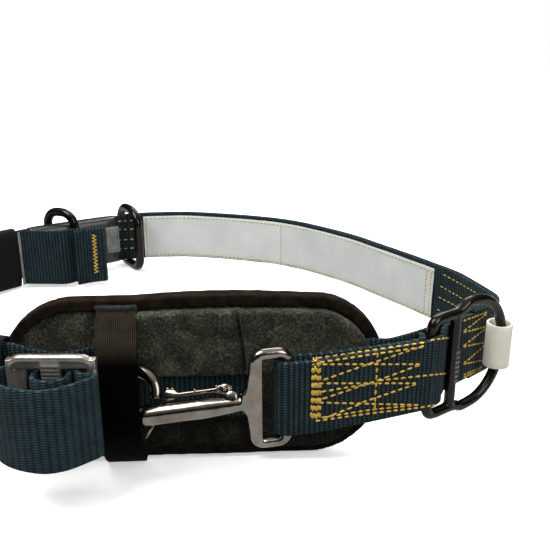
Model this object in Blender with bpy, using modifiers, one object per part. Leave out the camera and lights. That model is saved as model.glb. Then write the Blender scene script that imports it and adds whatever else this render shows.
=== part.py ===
"""Padded escape belt standing on its lower edges, as a closed waist loop.

Units are metres, +Z is up and the table is z = 0. The wearer's side of the
belt is the inside of the loop. The near side, with the pad and the hook,
faces -Y, and routes run anticlockwise seen from above.
"""

import bmesh
import bpy
from math import atan2, cos, pi, radians, sin, tau
from mathutils import Matrix, Vector

# Webbing
WEB_WIDTH = 0.0508
WEB_THICK = 0.0026
HOOK_WEB_THICK = 0.0034
HOOK_WEB_WIDTH = 0.0470
GAP = 0.0004
LAYER_STEP = WEB_THICK + GAP
STRIP_STEP = 0.009
NEAR_HEIGHT = 0.0565
FAR_HEIGHT = 0.0340
BUTT_GAP = 0.0005

# Where the whole loop stands, so that its box is centred on the origin
STAND_SHIFT = Vector((0.00697, -0.00211, -0.00021))

# D-ring: a wire frame in an upright plane that turns away to the right
RING_WIRE = 0.0036
D_CENTRE = Vector((0.1790, -0.1366, 0.0570))
D_TURN = radians(36.0)
D_SLOT = 0.0225
D_SLOT_HALF = 0.0335
D_ARC_HALF = 0.0375
D_ARC_RISE = 0.0010
D_BAR = 0.0036
D_ARC_ALONG = 0.0120
D_DEPTH = 0.0520
D_SLEEVE_OUTER = 0.0088
D_SLEEVE_SHIFT = -0.0030
D_SLEEVE_LENGTH = 0.031

# Pad: an upright plate that turns by a few degrees
PAD_CENTRE = Vector((0.015, -0.1627, 0.0))
PAD_TURN = radians(3.51)
PAD_LENGTH = 0.238
PAD_HEIGHT = 0.1075
PAD_LIFT = 0.0024
PAD_CORNER_X = 0.0480
PAD_CORNER_Z = 0.0530
PAD_CORE_FACE = 0.0030
PAD_CORE_THICK = 0.0070
BINDING_WALL = 0.0011
BINDING_DEPTH = 0.0070
COVER_FRONT = -0.0041
COVER_BACK = 0.0024
COVER_LEFT = -0.0350
COVER_WALL = 0.0025
TUNNEL_HALF = 0.0264
WINDOW_TOP = 0.0615
WINDOW_RIGHT = 0.0330
SEAM_SLANT = 0.0170

# Elastic loop round the pad
LOOP_X = -0.0298
LOOP_WIDTH = 0.0245
LOOP_THICK = 0.0016

# Hook
HOOK_FRAME_RIGHT = Vector((0.0710, -0.1838, 0.0570))
HOOK_FRAME_LEFT = Vector((0.0525, -0.1880, 0.0570))
HOOK_FRAME_HALF = 0.0290
HOOK_BAR = 0.0036
HOOK_SPINE = 0.0044
HOOK_ARM = 0.0063
HOOK_NOSE_X = -0.0168
# The arm: reach from its nose, and its share of the arm's radius there
HOOK_NOSE = (
    (0.0, 0.55), (0.0012, 0.82), (0.0030, 0.96), (0.0055, 1.0), (0.0400, 1.0), (0.0560, 0.80), (0.0662, 0.50),
)
# The plate on the frame's left bar: place along the frame and height of its corners
HOOK_PLATE = (
    (0.0040, -0.0250), (0.0040, 0.0250), (-0.0030, 0.0262), (-0.0052, 0.0090), (-0.0082, 0.0046),
    (-0.0082, -0.0046), (-0.0052, -0.0090), (-0.0030, -0.0262),
)
HOOK_PLATE_HALF = 0.0031
HOOK_TILT = radians(56.0)
HOOK_BOWL_X = -0.0192
HOOK_BOWL_RADIUS = 0.0138
HOOK_BOWL_DROP = 0.0105
HOOK_TIP_ANGLE = radians(-20.0)
GATE_LEVEL = 0.0092
GATE_PIN_X = 0.0360
GATE_PIN_RADIUS = 0.0014
GATE_WIDE = 0.0052
CHEEK_WALL = 0.0014

# Slide
SLIDE_CENTRE = Vector((-0.0600, -0.2025, 0.0605))
SLIDE_LENGTH = 0.0510
SLIDE_HALF = 0.0300
SLIDE_WIRE = 0.0030
INNER_LOOP_WIDTH = 0.0475

# Keeper rings and sleeves
LINK_WIRE = 0.0040
LEATHER_THICK = 0.0180
LEATHER_HEIGHT = 0.0508
SLEEVE_THICK = 0.0140
SLEEVE_HEIGHT = 0.0615
SLEEVE_DROP = 0.0022
TAIL_WIDTH = 0.0565
TAIL_HEIGHT = 0.0330
TAIL_FOLD = 0.0017
TAIL_FLAP = 0.0270
TAIL_FLAP_RISE = 0.0014

# Belt route: place, x, y and height of the strap's middle
BELT_ROUTE = (
    ("d_bar", 0.1735, -0.1287, 0.0565),
    ("d_opening", 0.1945, -0.1090, 0.0560),
    ("turn_near", 0.2205, -0.0710, 0.0470),
    ("turn", 0.2325, -0.0330, 0.0372),
    ("turn_far", 0.2290, -0.0040, 0.0340),
    ("far_right", 0.2180, 0.0260, FAR_HEIGHT),
    ("label_right", 0.1990, 0.0560, FAR_HEIGHT),
    ("far_b", 0.1630, 0.1060, FAR_HEIGHT),
    ("far_c", 0.1290, 0.1480, FAR_HEIGHT),
    ("far_d", 0.0690, 0.1960, FAR_HEIGHT),
    ("far_e", -0.0180, 0.2220, FAR_HEIGHT),
    ("label_left", -0.0640, 0.2225, FAR_HEIGHT),
    ("ring_b", -0.0900, 0.2175, FAR_HEIGHT),
    ("leather_right", -0.1080, 0.2090, FAR_HEIGHT),
    ("leather_mid", -0.1430, 0.1885, FAR_HEIGHT),
    ("leather_left", -0.1870, 0.1613, FAR_HEIGHT),
    ("sleeve_far", -0.1985, 0.1500, FAR_HEIGHT),
    ("left_far", -0.2180, 0.1220, 0.0355),
    ("left_a", -0.2380, 0.0680, 0.0380),
    ("left_b", -0.2440, 0.0100, 0.0440),
    ("left_c", -0.2360, -0.0480, 0.0510),
    ("left_near", -0.2060, -0.1080, 0.0570),
    ("left_pad", -0.1530, -0.1575, 0.0625),
    ("sleeve_near", -0.0905, -0.1832, 0.0665),
    ("near_b", -0.0760, -0.1850, 0.0640),
    ("near_c", -0.0590, -0.1797, 0.0598),
    ("near_d", -0.0420, -0.1688, 0.0572),
    ("tunnel_in", -0.0260, -0.1652, 0.0565),
    ("tunnel_a", 0.0150, -0.1627, 0.0565),
    ("tunnel_b", 0.0600, -0.1599, 0.0565),
    ("tunnel_c", 0.1000, -0.1575, 0.0565),
    ("tunnel_d", 0.1265, -0.1559, 0.0565),
    ("tunnel_out", 0.1355, -0.1553, 0.0565),
    ("behind_lap", 0.1560, -0.1430, 0.0565),
)

COLLECTION = "escape_belt"
CUTTERS = "cutters"


def clear_scene():
    """Removes everything that the file held."""
    for thing in list(bpy.data.objects):
        bpy.data.objects.remove(thing, do_unlink=True)
    for group in list(bpy.data.collections):
        bpy.data.collections.remove(group)


def make_collection(name):
    """A new collection linked to the scene."""
    group = bpy.data.collections.new(name)
    bpy.context.scene.collection.children.link(group)
    return group


def make_material(name, colour, roughness, metallic=0.0):
    """A Principled material with its viewport colour."""
    material = bpy.data.materials.new(name)
    material.use_nodes = True
    shader = material.node_tree.nodes["Principled BSDF"]
    shader.inputs["Base Color"].default_value = (*colour, 1.0)
    shader.inputs["Roughness"].default_value = roughness
    shader.inputs["Metallic"].default_value = metallic
    material.diffuse_color = (*colour, 1.0)
    return material


def make_materials():
    """Every finish on the belt, by its plain name."""
    looks = (
        ("navy_webbing", (0.020, 0.034, 0.042), 0.85, 0.0),
        ("black_webbing", (0.012, 0.012, 0.012), 0.85, 0.0),
        ("grey_felt", (0.033, 0.034, 0.028), 0.95, 0.0),
        ("black_binding", (0.008, 0.007, 0.006), 0.90, 0.0),
        ("black_leather", (0.015, 0.015, 0.014), 0.35, 0.0),
        ("pale_satin", (0.480, 0.500, 0.480), 0.45, 0.0),
        ("pale_plastic", (0.600, 0.570, 0.470), 0.45, 0.0),
        ("black_steel", (0.012, 0.012, 0.011), 0.25, 1.0),
        ("chrome_steel", (0.620, 0.610, 0.590), 0.12, 1.0),
    )
    return {name: make_material(name, *values) for name, *values in looks}


def link(thing, group, material=None):
    """Puts an object in its collection with its one material."""
    group.objects.link(thing)
    if material:
        thing.data.materials.clear()
        thing.data.materials.append(material)
    return thing


def mesh_object(name, mesh_bm, group, material=None, smooth=None):
    """An object from a bmesh, with smooth shading under the given angle."""
    bmesh.ops.recalc_face_normals(mesh_bm, faces=mesh_bm.faces)
    mesh = bpy.data.meshes.new(name)
    mesh_bm.to_mesh(mesh)
    mesh_bm.free()
    if smooth:
        mesh.shade_smooth()
        mesh.set_sharp_from_angle(angle=smooth)
    return link(bpy.data.objects.new(name, mesh), group, material)


def smooth_line(points, step, closed=False):
    """Points about a step apart on a smooth curve through the given ones, and the index of each given one."""
    count = len(points)
    spans = count if closed else count - 1
    line = []
    marks = []
    for k in range(spans):
        if closed:
            a, b, c, d = (points[(k + j) % count] for j in (-1, 0, 1, 2))
        else:
            b, c = points[k], points[k + 1]
            a = points[k - 1] if k else b * 2 - c
            d = points[k + 2] if k + 2 < count else c * 2 - b
        marks.append(len(line))
        pieces = max(1, round((c - b).length / step))
        for j in range(pieces):
            t = j / pieces
            line.append(
                ((b * 2) + (c - a) * t + (a * 2 - b * 5 + c * 4 - d) * t * t
                 + (b * 3 - a - c * 3 + d) * t * t * t) / 2
            )
    if not closed:
        marks.append(len(line))
        line.append(points[-1].copy())
    return line, marks


def arc(centre, radius, start, end, pieces, height=0.0):
    """Points on an upright bend round a centre, seen from above."""
    turn = (end - start) / pieces
    return [
        Vector((centre.x + radius * cos(start + k * turn), centre.y + radius * sin(start + k * turn), height))
        for k in range(pieces + 1)
    ]


def offset_line(line, distance, closed=False):
    """A line beside another in plan, to the left of its run for a positive distance."""
    moved = []
    last = len(line) - 1
    for k, point in enumerate(line):
        before = line[k - 1] if k or closed else point
        after = line[(k + 1) % len(line)] if k < last or closed else point
        one = (point - before).xy if before is not point else (after - point).xy
        two = (after - point).xy if after is not point else one
        one = one.normalized()
        two = two.normalized()
        left = Vector((-one.y - two.y, one.x + two.x)).normalized()
        reach = distance / max(0.5, left.dot(Vector((-one.y, one.x))))
        moved.append(point + Vector((left.x * reach, left.y * reach, 0.0)))
    return moved


def strip(name, line, width, thick, group, material, closed=False):
    """Webbing on edge: an upright ribbon along a line of its middle, given its thickness by Solidify."""
    bm = bmesh.new()
    low = [bm.verts.new(point - Vector((0, 0, width / 2))) for point in line]
    edges = [bm.edges.new((a, b)) for a, b in zip(low, low[1:])]
    if closed:
        edges.append(bm.edges.new((low[-1], low[0])))
    raised = bmesh.ops.extrude_edge_only(bm, edges=edges)["geom"]
    lifted = [part for part in raised if isinstance(part, bmesh.types.BMVert)]
    bmesh.ops.translate(bm, verts=lifted, vec=(0, 0, width))
    ribbon = mesh_object(name, bm, group, material)
    wall = ribbon.modifiers.new("wall", "SOLIDIFY")
    wall.thickness = thick
    wall.offset = 0.0
    wall.use_even_offset = True
    return ribbon


def wire(name, points, radius, group, material, closed=False, sides=2):
    """A round bar: a poly curve with a bevel depth and filled caps."""
    curve = bpy.data.curves.new(name, "CURVE")
    curve.dimensions = "3D"
    curve.bevel_depth = radius
    curve.bevel_resolution = sides
    curve.use_fill_caps = True
    run = curve.splines.new("POLY")
    run.points.add(len(points) - 1)
    for target, point in zip(run.points, points):
        target.co = (*point, 1.0)
    run.use_cyclic_u = closed
    return link(bpy.data.objects.new(name, curve), group, material)


def to_mesh(thing, group):
    """The same object as a plain mesh with its caps welded, so that it can be cut or joined."""
    graph = bpy.context.evaluated_depsgraph_get()
    mesh = bpy.data.meshes.new_from_object(thing.evaluated_get(graph))
    bm = bmesh.new()
    bm.from_mesh(mesh)
    bmesh.ops.remove_doubles(bm, verts=bm.verts, dist=0.00001)
    bmesh.ops.recalc_face_normals(bm, faces=bm.faces)
    bm.to_mesh(mesh)
    bm.free()
    name = thing.name
    place = thing.matrix_world.copy()
    bpy.data.objects.remove(thing, do_unlink=True)
    mesh.name = name
    solid = bpy.data.objects.new(name, mesh)
    solid.matrix_world = place
    group.objects.link(solid)
    mesh.shade_smooth()
    mesh.set_sharp_from_angle(angle=radians(40))
    return solid


def boolean(target, tool, operation):
    """A Boolean with the exact solver."""
    change = target.modifiers.new(f"{operation.lower()}_{tool.name}", "BOOLEAN")
    change.operation = operation
    change.object = tool
    change.solver = "EXACT"
    tool.hide_render = True
    tool.display_type = "WIRE"


def fuse(name, pieces, group, cutters, material):
    """One welded solid from overlapping bars."""
    solids = [to_mesh(piece, cutters) for piece in pieces]
    body = solids[0]
    for other in solids[1:]:
        boolean(body, other, "UNION")
    bpy.context.view_layer.update()
    whole = to_mesh(body, group)
    whole.name = name
    whole.data.name = name
    whole.data.materials.clear()
    whole.data.materials.append(material)
    return whole


def rounded_frame(half_length, half_height, high_radius, low_radius, centre, pieces=4):
    """Rectangle in the XZ plane with its upper and lower corners rounded, as a closed list of points."""
    points = []
    for k, (sx, sz) in enumerate(((1, 1), (-1, 1), (-1, -1), (1, -1))):
        radius = high_radius if sz > 0 else low_radius
        for j in range(pieces + 1):
            angle = (k + j / pieces) * pi / 2
            points.append(
                Vector((
                    centre.x + sx * (half_length - radius) + radius * cos(angle),
                    centre.y,
                    centre.z + sz * (half_height - radius) + radius * sin(angle),
                ))
            )
    return points


def box(name, low, high, group):
    """A plain cutter box between two corners."""
    bm = bmesh.new()
    bmesh.ops.create_cube(bm, size=1.0)
    size = Vector(high) - Vector(low)
    bmesh.ops.scale(bm, verts=bm.verts, vec=size)
    bmesh.ops.translate(bm, verts=bm.verts, vec=(Vector(high) + Vector(low)) / 2)
    return mesh_object(name, bm, group)


def belt_line():
    """The inner webbing's middle all the way round, and the index of each named place."""
    points = [Vector(row[1:]) for row in BELT_ROUTE]
    line, marks = smooth_line(points, STRIP_STEP, closed=True)
    return line, {row[0]: mark for row, mark in zip(BELT_ROUTE, marks)}


def stretch(line, first, last):
    """Part of the closed belt line, between two of its indexes."""
    if last > first:
        return [point.copy() for point in line[first:last + 1]]
    return [point.copy() for point in line[first:] + line[:last + 1]]


def trimmed(line, start, end):
    """The line with a little taken off one or both ends."""
    cut = [point.copy() for point in line]
    if start:
        cut[0] += (cut[1] - cut[0]).normalized() * start
    if end:
        cut[-1] += (cut[-2] - cut[-1]).normalized() * end
    return cut


def d_point(along, front, height=0.0):
    """A point of the D-ring's frame: along its plane, in front of it and above its middle."""
    return D_CENTRE + Vector((
        along * cos(D_TURN) + front * sin(D_TURN),
        along * sin(D_TURN) - front * cos(D_TURN),
        height,
    ))


def make_straps(line, at, parts, looks):
    """The belt's webbing in four lengths, and where the far strap's outer layer starts."""
    navy = looks["navy_webbing"]
    far = stretch(line, at["d_opening"], at["ring_b"] + 1)
    strip("far_strap_inner", trimmed(far, 0, BUTT_GAP), WEB_WIDTH, WEB_THICK, parts, navy)
    outer = offset_line(far, -LAYER_STEP)
    strip("far_strap_outer", trimmed(outer, 0, 0.003), WEB_WIDTH, WEB_THICK, parts, navy)
    back = stretch(line, at["ring_b"] + 1, at["sleeve_near"])
    strip("back_strap", back, WEB_WIDTH, WEB_THICK, parts, navy)
    near = stretch(line, at["sleeve_near"], at["d_opening"])
    strip("near_strap", trimmed(near, BUTT_GAP, BUTT_GAP), WEB_WIDTH, WEB_THICK, parts, navy)
    return outer[0], (outer[1] - outer[0]).normalized()


def make_label(line, at, parts, looks):
    """The satin panel on the inner face of the far strap, left bare."""
    panel = offset_line(stretch(line, at["label_right"] - 1, at["label_left"] + 1), LAYER_STEP / 2 + 0.0008)
    panel = [point - Vector((0, 0, 0.0010)) for point in panel]
    strip("label_panel", panel, WEB_WIDTH - 0.0045, 0.0010, parts, looks["pale_satin"])


def make_hook_strap(join, run, parts, looks):
    """Heavy webbing: lap, wrap round the hook frame, over the left and behind the centre bar of the ring."""
    reach = RING_WIRE + GAP + HOOK_WEB_THICK / 2
    wrap = HOOK_BAR + GAP + HOOK_WEB_THICK / 2
    lean = radians(20.5)
    height = NEAR_HEIGHT + 0.0015
    front_start = -pi / 2 + lean
    bend = arc(HOOK_FRAME_RIGHT, wrap, front_start + tau * 0.5, front_start + tau, 10, height)
    lap_end = d_point(-D_SLOT - 0.0020, -reach)
    lap_mid = d_point(-0.0365, 0.0000)
    lap_near = HOOK_FRAME_RIGHT + Vector((0.0230, 0.0085, 0))
    lap_front = HOOK_FRAME_RIGHT + Vector((0.0230, 0.0000, 0))
    over = (
        (-0.0350, 0.0046),
        (-D_SLOT - 0.0030, reach),
        (-D_SLOT, reach),
        (-D_SLOT * 0.7, 0.0040),
        (-D_SLOT / 2, 0.0),
        (-0.0047, -0.0038),
        (0.0, -reach),
    )
    points = [lap_end, lap_mid, lap_near]
    points += bend
    points += [lap_front]
    points += [d_point(along, front) for along, front in over]
    for point in points:
        point.z = height
    points += [join - run * 0.0080 + Vector((0, 0, 0.0005)), join - run * BUTT_GAP]
    line, _ = smooth_line(points, 0.0030)
    strip("hook_strap", line, HOOK_WEB_WIDTH, HOOK_WEB_THICK, parts, looks["navy_webbing"])


def d_outline():
    """The D-ring's wire: its slot, and the bow that rises a little above it, as a closed list of points."""
    reach = D_DEPTH - D_ARC_ALONG - RING_WIRE
    half = D_SLOT_HALF
    slot = [
        (0.0, half),
        (-D_SLOT + 0.0085, half),
        (-D_SLOT + 0.0028, half - 0.0016),
        (-D_SLOT + 0.0003, half - 0.0065),
        (-D_SLOT, half - 0.0110),
    ]
    rows = slot + [(along, -height) for along, height in reversed(slot)]
    rows += [(0.0060, -half - 0.0010), (D_ARC_ALONG, D_ARC_RISE - D_ARC_HALF)]
    for angle in (radians(-75 + 15 * k) for k in range(11)):
        rows.append((D_ARC_ALONG + reach * cos(angle) ** 0.8, D_ARC_RISE + D_ARC_HALF * sin(angle)))
    rows += [(D_ARC_ALONG, D_ARC_RISE + D_ARC_HALF), (0.0060, half + 0.0022)]
    return [d_point(along, 0.0, height) for along, height in rows]


def make_d_ring(parts, cutters, looks):
    """Slotted D-ring in wire, and the plastic sleeve on its bow."""
    line, _ = smooth_line(d_outline(), 0.0065, closed=True)
    outline = wire("d_outline", line, RING_WIRE, cutters, None, closed=True)
    bar = wire(
        "d_bar", [d_point(0, 0, -D_SLOT_HALF), d_point(0, 0, D_SLOT_HALF)], D_BAR, cutters, None
    )
    fuse("d_ring", [outline, bar], parts, cutters, looks["black_steel"])
    reach = D_DEPTH - D_ARC_ALONG - RING_WIRE + D_SLEEVE_SHIFT
    half = D_SLEEVE_LENGTH / 2
    middle = [d_point(D_ARC_ALONG + reach, 0.0, k * half) for k in (-1, 0, 1)]
    rings = ((D_SLEEVE_OUTER, "sleeve_out"), (D_SLEEVE_OUTER - 0.0018, "sleeve_in"))
    tubes = [wire(name, middle, size, cutters, None, sides=3) for size, name in rings]
    grow = half * 2
    tubes[1].data.splines[0].points[0].co.z -= grow * 0.1
    tubes[1].data.splines[0].points[-1].co.z += grow * 0.1
    outside, inside = (to_mesh(tube, cutters) for tube in tubes)
    boolean(outside, inside, "DIFFERENCE")
    bpy.context.view_layer.update()
    sleeve = to_mesh(outside, parts)
    sleeve.name = "ring_sleeve"
    sleeve.data.materials.clear()
    sleeve.data.materials.append(looks["pale_plastic"])


def make_link(name, near, far, high, high_radius, low_radius, parts, looks):
    """A keeper link: an upright oval of round bar on the table, between its near and far legs."""
    low = 0.0002
    middle = (near + far) / 2
    span = (far - near).length
    turn = atan2(far.y - near.y, far.x - near.x)
    half = (high - low) / 2 - LINK_WIRE
    points = rounded_frame(span / 2, half, high_radius, low_radius, Vector((0, 0, (high + low) / 2)), 5)
    placed = Matrix.Translation((middle.x, middle.y, 0)) @ Matrix.Rotation(turn, 4, "Z")
    wire(name, [placed @ point for point in points], LINK_WIRE, parts, looks["black_steel"], closed=True)


def tube_section(bm, point, left, width, thick):
    """Four corners of a flat tube's section, on edge."""
    up = Vector((0, 0, width / 2))
    side = left * (thick / 2)
    return [bm.verts.new(point + a * side + b * up) for a, b in ((1, 1), (-1, 1), (-1, -1), (1, -1))]


def flat_tube(name, line, width, thick, hole_width, hole_thick, drop, group, material):
    """A sleeve round a strap: a flat tube, open at both ends, its wall lower than its hole by the drop."""
    bm = bmesh.new()
    lefts = [(b - a).normalized() for a, b in zip(offset_line(line, 0.0), offset_line(line, 0.01))]
    low = Vector((0, 0, drop))
    outer = [tube_section(bm, point - low, left, width, thick) for point, left in zip(line, lefts)]
    inner = [tube_section(bm, point, left, hole_width, hole_thick) for point, left in zip(line, lefts)]
    for rings in (outer, inner):
        for one, two in zip(rings, rings[1:]):
            for k in range(4):
                bm.faces.new((one[k], one[(k + 1) % 4], two[(k + 1) % 4], two[k]))
    for end in (0, -1):
        for k in range(4):
            j = (k + 1) % 4
            bm.faces.new((outer[end][k], outer[end][j], inner[end][j], inner[end][k]))
    return mesh_object(name, bm, group, material)


def make_sleeves(line, at, parts, looks):
    """Leather sleeve with its end patch, and the black sleeve round the left turn."""
    hole = (WEB_WIDTH + 0.0008, WEB_THICK + 0.0008)
    leather = stretch(line, at["leather_right"], at["leather_left"])
    slab = (LEATHER_THICK - hole[1]) / 2
    for name, side in (("leather_front", 1), ("leather_back", -1)):
        path = offset_line(leather, side * (hole[1] + slab) / 2)
        strip(name, path, LEATHER_HEIGHT, slab, parts, looks["black_leather"])
    patch = offset_line(leather[:3], LEATHER_THICK / 2 + GAP + 0.0006)
    patch = [point + Vector((0, 0, 0.006)) for point in patch]
    strip("leather_patch", patch, 0.036, 0.0012, parts, looks["black_leather"])
    turn = stretch(line, at["sleeve_far"], at["sleeve_near"])
    size = (SLEEVE_HEIGHT, SLEEVE_THICK)
    flat_tube("turn_sleeve", turn, *size, *hole, SLEEVE_DROP, parts, looks["black_webbing"])


def make_tail(parts, looks):
    """The free tail in front of the leather sleeve: it leaves the turn sleeve and its end is folded back."""
    route = (
        (-0.1928, 0.1460),
        (-0.1860, 0.1468),
        (-0.1640, 0.1490),
        (-0.1430, 0.1520),
        (-0.1340, 0.1535),
        (-0.1120, 0.1590),
    )
    run = [Vector((x, y, TAIL_HEIGHT)) for x, y in route]
    ahead = (run[-1] - run[-2]).normalized()
    front = Vector((ahead.y, -ahead.x, 0.0))
    hinge = run[-1] + front * TAIL_FOLD
    bend = [hinge + (ahead * sin(k * pi / 4) - front * cos(k * pi / 4)) * TAIL_FOLD for k in range(1, 5)]
    flap = []
    for share in (0.35, 0.7, 1.0):
        flap.append(bend[-1] - ahead * TAIL_FLAP * share + front * TAIL_FLAP_RISE * share * share)
    path = smooth_line(run, 0.0080)[0] + bend + flap
    strip("strap_tail", path, TAIL_WIDTH, WEB_THICK, parts, looks["navy_webbing"])


def pad_matrix():
    """Turns the pad's own frame, x along it and y through it, into the belt's."""
    return Matrix.Translation(PAD_CENTRE) @ Matrix.Rotation(PAD_TURN, 4, "Z")


def pad_outline(inset, pieces=10):
    """The pad's long rounded outline in its own x and z, anticlockwise from the right end."""
    half = PAD_LENGTH / 2 - inset
    high = PAD_HEIGHT / 2 - inset
    corner_x = PAD_CORNER_X - inset
    corner_z = PAD_CORNER_Z - inset
    middle = PAD_LIFT + PAD_HEIGHT / 2
    points = []
    for sx, sz, start in ((1, 1, 0), (-1, 1, 1), (-1, -1, 2), (1, -1, 3)):
        for k in range(pieces):
            angle = (start + k / pieces) * pi / 2
            x = sx * (half - corner_x) + corner_x * cos(angle)
            z = sz * (high - corner_z) + corner_z * sin(angle)
            points.append((x, middle + z))
    return points


def plate(name, outline, front, back, group, material=None):
    """A flat plate with an outline in x and z, between two depths in y."""
    bm = bmesh.new()
    face = bm.faces.new([bm.verts.new((x, front, z)) for x, z in outline])
    raised = bmesh.ops.extrude_face_region(bm, geom=[face])["geom"]
    lifted = [part for part in raised if isinstance(part, bmesh.types.BMVert)]
    bmesh.ops.translate(bm, verts=lifted, vec=(0, back - front, 0))
    return mesh_object(name, bm, group, material)


def settle(thing, name, group, material):
    """The object with its Booleans applied, in its place."""
    bpy.context.view_layer.update()
    solid = to_mesh(thing, group)
    solid.name = name
    solid.data.materials.clear()
    solid.data.materials.append(material)
    return solid


def make_pad(parts, cutters, looks):
    """Felt core, bound edge and the front cover with its strap tunnel."""
    place = pad_matrix()
    back = PAD_CORE_FACE + PAD_CORE_THICK
    core = plate("pad_core", pad_outline(BINDING_WALL + GAP), PAD_CORE_FACE, back, parts, looks["grey_felt"])
    core.matrix_world = place

    lip = GAP + BINDING_WALL
    tape = plate("tape", pad_outline(0), PAD_CORE_FACE - lip, back + lip, cutters)
    room = plate("tape_room", pad_outline(BINDING_WALL), PAD_CORE_FACE - GAP, back + GAP, cutters)
    mouth = plate("tape_mouth", pad_outline(BINDING_DEPTH), -0.02, 0.03, cutters)
    boolean(tape, room, "DIFFERENCE")
    boolean(tape, mouth, "DIFFERENCE")
    for piece in (tape, room, mouth):
        piece.matrix_world = place
    settle(tape, "pad_binding", parts, looks["black_binding"])

    cover = plate("cover", pad_outline(BINDING_DEPTH + 0.0006), COVER_FRONT, COVER_BACK, cutters)
    strap_low = NEAR_HEIGHT - TUNNEL_HALF
    strap_high = NEAR_HEIGHT + TUNNEL_HALF
    behind = COVER_FRONT + COVER_WALL
    foot = WINDOW_RIGHT + SEAM_SLANT * 0.45
    window = ((-0.2, -0.05), (foot, -0.05), (WINDOW_RIGHT, WINDOW_TOP), (-0.2, WINDOW_TOP))
    cuts = (
        box("cover_left", (-0.2, -0.05, -0.05), (COVER_LEFT, 0.05, 0.2), cutters),
        box("tunnel", (-0.2, behind, strap_low), (0.2, 0.05, strap_high), cutters),
        plate("window", window, -0.05, 0.05, cutters),
    )
    cover.matrix_world = place
    for cut in cuts:
        cut.matrix_world = place
        boolean(cover, cut, "DIFFERENCE")
    settle(cover, "pad_cover", parts, looks["grey_felt"])


def make_pad_loop(parts, looks):
    """The ribbed elastic band round the pad, bowed out over the hook's bowl."""
    local_x = LOOP_X - PAD_CENTRE.x
    front = COVER_FRONT - GAP - LOOP_THICK / 2
    back = PAD_CORE_FACE + PAD_CORE_THICK + 2 * GAP + BINDING_WALL + LOOP_THICK / 2
    top = PAD_LIFT + PAD_HEIGHT + GAP + LOOP_THICK / 2
    low = PAD_LIFT - GAP - LOOP_THICK / 2
    bend = 0.0009
    rows = (
        (back - bend * 1.3, low),
        (back - bend * 0.3, low + bend * 0.3),
        (back, low + bend * 1.3),
        (back, 0.012),
        (back, 0.034),
        (back, 0.078),
        (back, 0.100),
        (back, top - bend * 1.3),
        (back - bend * 0.3, top - bend * 0.3),
        (back - bend * 1.3, top),
        (PAD_CORE_FACE - 0.0025, top - 0.0001),
        (front + 0.0005, top - 0.004),
        (-0.0105, 0.0960),
        (-0.0215, 0.0840),
        (-0.0297, 0.0700),
        (-0.0325, 0.0560),
        (-0.0315, 0.0420),
        (-0.0250, 0.0280),
        (-0.0130, 0.0120),
        (-0.0040, low + 0.003),
        (PAD_CORE_FACE - 0.0025, low + 0.0001),
    )
    points = [Vector((y, z, 0.0)) for y, z in rows]
    line, _ = smooth_line(points, 0.0055, closed=True)
    band = strip("pad_loop", line, LOOP_WIDTH, LOOP_THICK, parts, looks["black_webbing"], closed=True)
    upright = Matrix(((0, 0, 1, 0), (1, 0, 0, 0), (0, 1, 0, 0), (0, 0, 0, 1)))
    band.matrix_world = pad_matrix() @ Matrix.Translation((local_x, 0, 0)) @ upright


def hook_matrix():
    """The hook's own frame: x along the arm to the right, y from the arm to the gate, z out of its plane."""
    origin = Vector((0.0, HOOK_FRAME_LEFT.y - 0.0010, NEAR_HEIGHT))
    drop = atan2(HOOK_BOWL_DROP, HOOK_FRAME_LEFT.x - HOOK_BOWL_X)
    lean = Matrix.Rotation(-drop, 4, "Y")
    pivot = Matrix.Translation((HOOK_FRAME_LEFT.x, 0, 0))
    return Matrix.Translation(origin) @ pivot @ lean @ pivot.inverted() @ Matrix.Rotation(HOOK_TILT, 4, "X")


def gate_seat(cutters):
    """The fork under the gate, its two cheeks and the pin between them."""
    own = hook_matrix()
    outline = (
        (GATE_PIN_X - 0.0060, -0.0010),
        (HOOK_FRAME_LEFT.x - 0.0010, -0.0010),
        (HOOK_FRAME_LEFT.x - 0.0035, 0.0030),
        (GATE_PIN_X + 0.0046, GATE_LEVEL + 0.0022),
        (GATE_PIN_X + 0.0016, GATE_LEVEL + 0.0038),
        (GATE_PIN_X - 0.0022, GATE_LEVEL + 0.0030),
    )
    pieces = []
    for side in (-1, 1):
        bm = bmesh.new()
        near = side * (GATE_WIDE / 2 + GAP)
        face = bm.faces.new([bm.verts.new((x, y, near)) for x, y in outline])
        raised = bmesh.ops.extrude_face_region(bm, geom=[face])["geom"]
        lifted = [part for part in raised if isinstance(part, bmesh.types.BMVert)]
        bmesh.ops.translate(bm, verts=lifted, vec=(0, 0, side * CHEEK_WALL))
        cheek = mesh_object(f"cheek_{side + 1}", bm, cutters)
        cheek.matrix_world = own
        pieces.append(cheek)
    bm = bmesh.new()
    bmesh.ops.create_cone(
        bm, cap_ends=True, segments=16, radius1=GATE_PIN_RADIUS, radius2=GATE_PIN_RADIUS,
        depth=GATE_WIDE + 2 * GAP + 2 * CHEEK_WALL + 0.0008,
    )
    pin = mesh_object("gate_pin", bm, cutters)
    pin.matrix_world = own @ Matrix.Translation((GATE_PIN_X, GATE_LEVEL, 0))
    return pieces + [pin]


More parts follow.
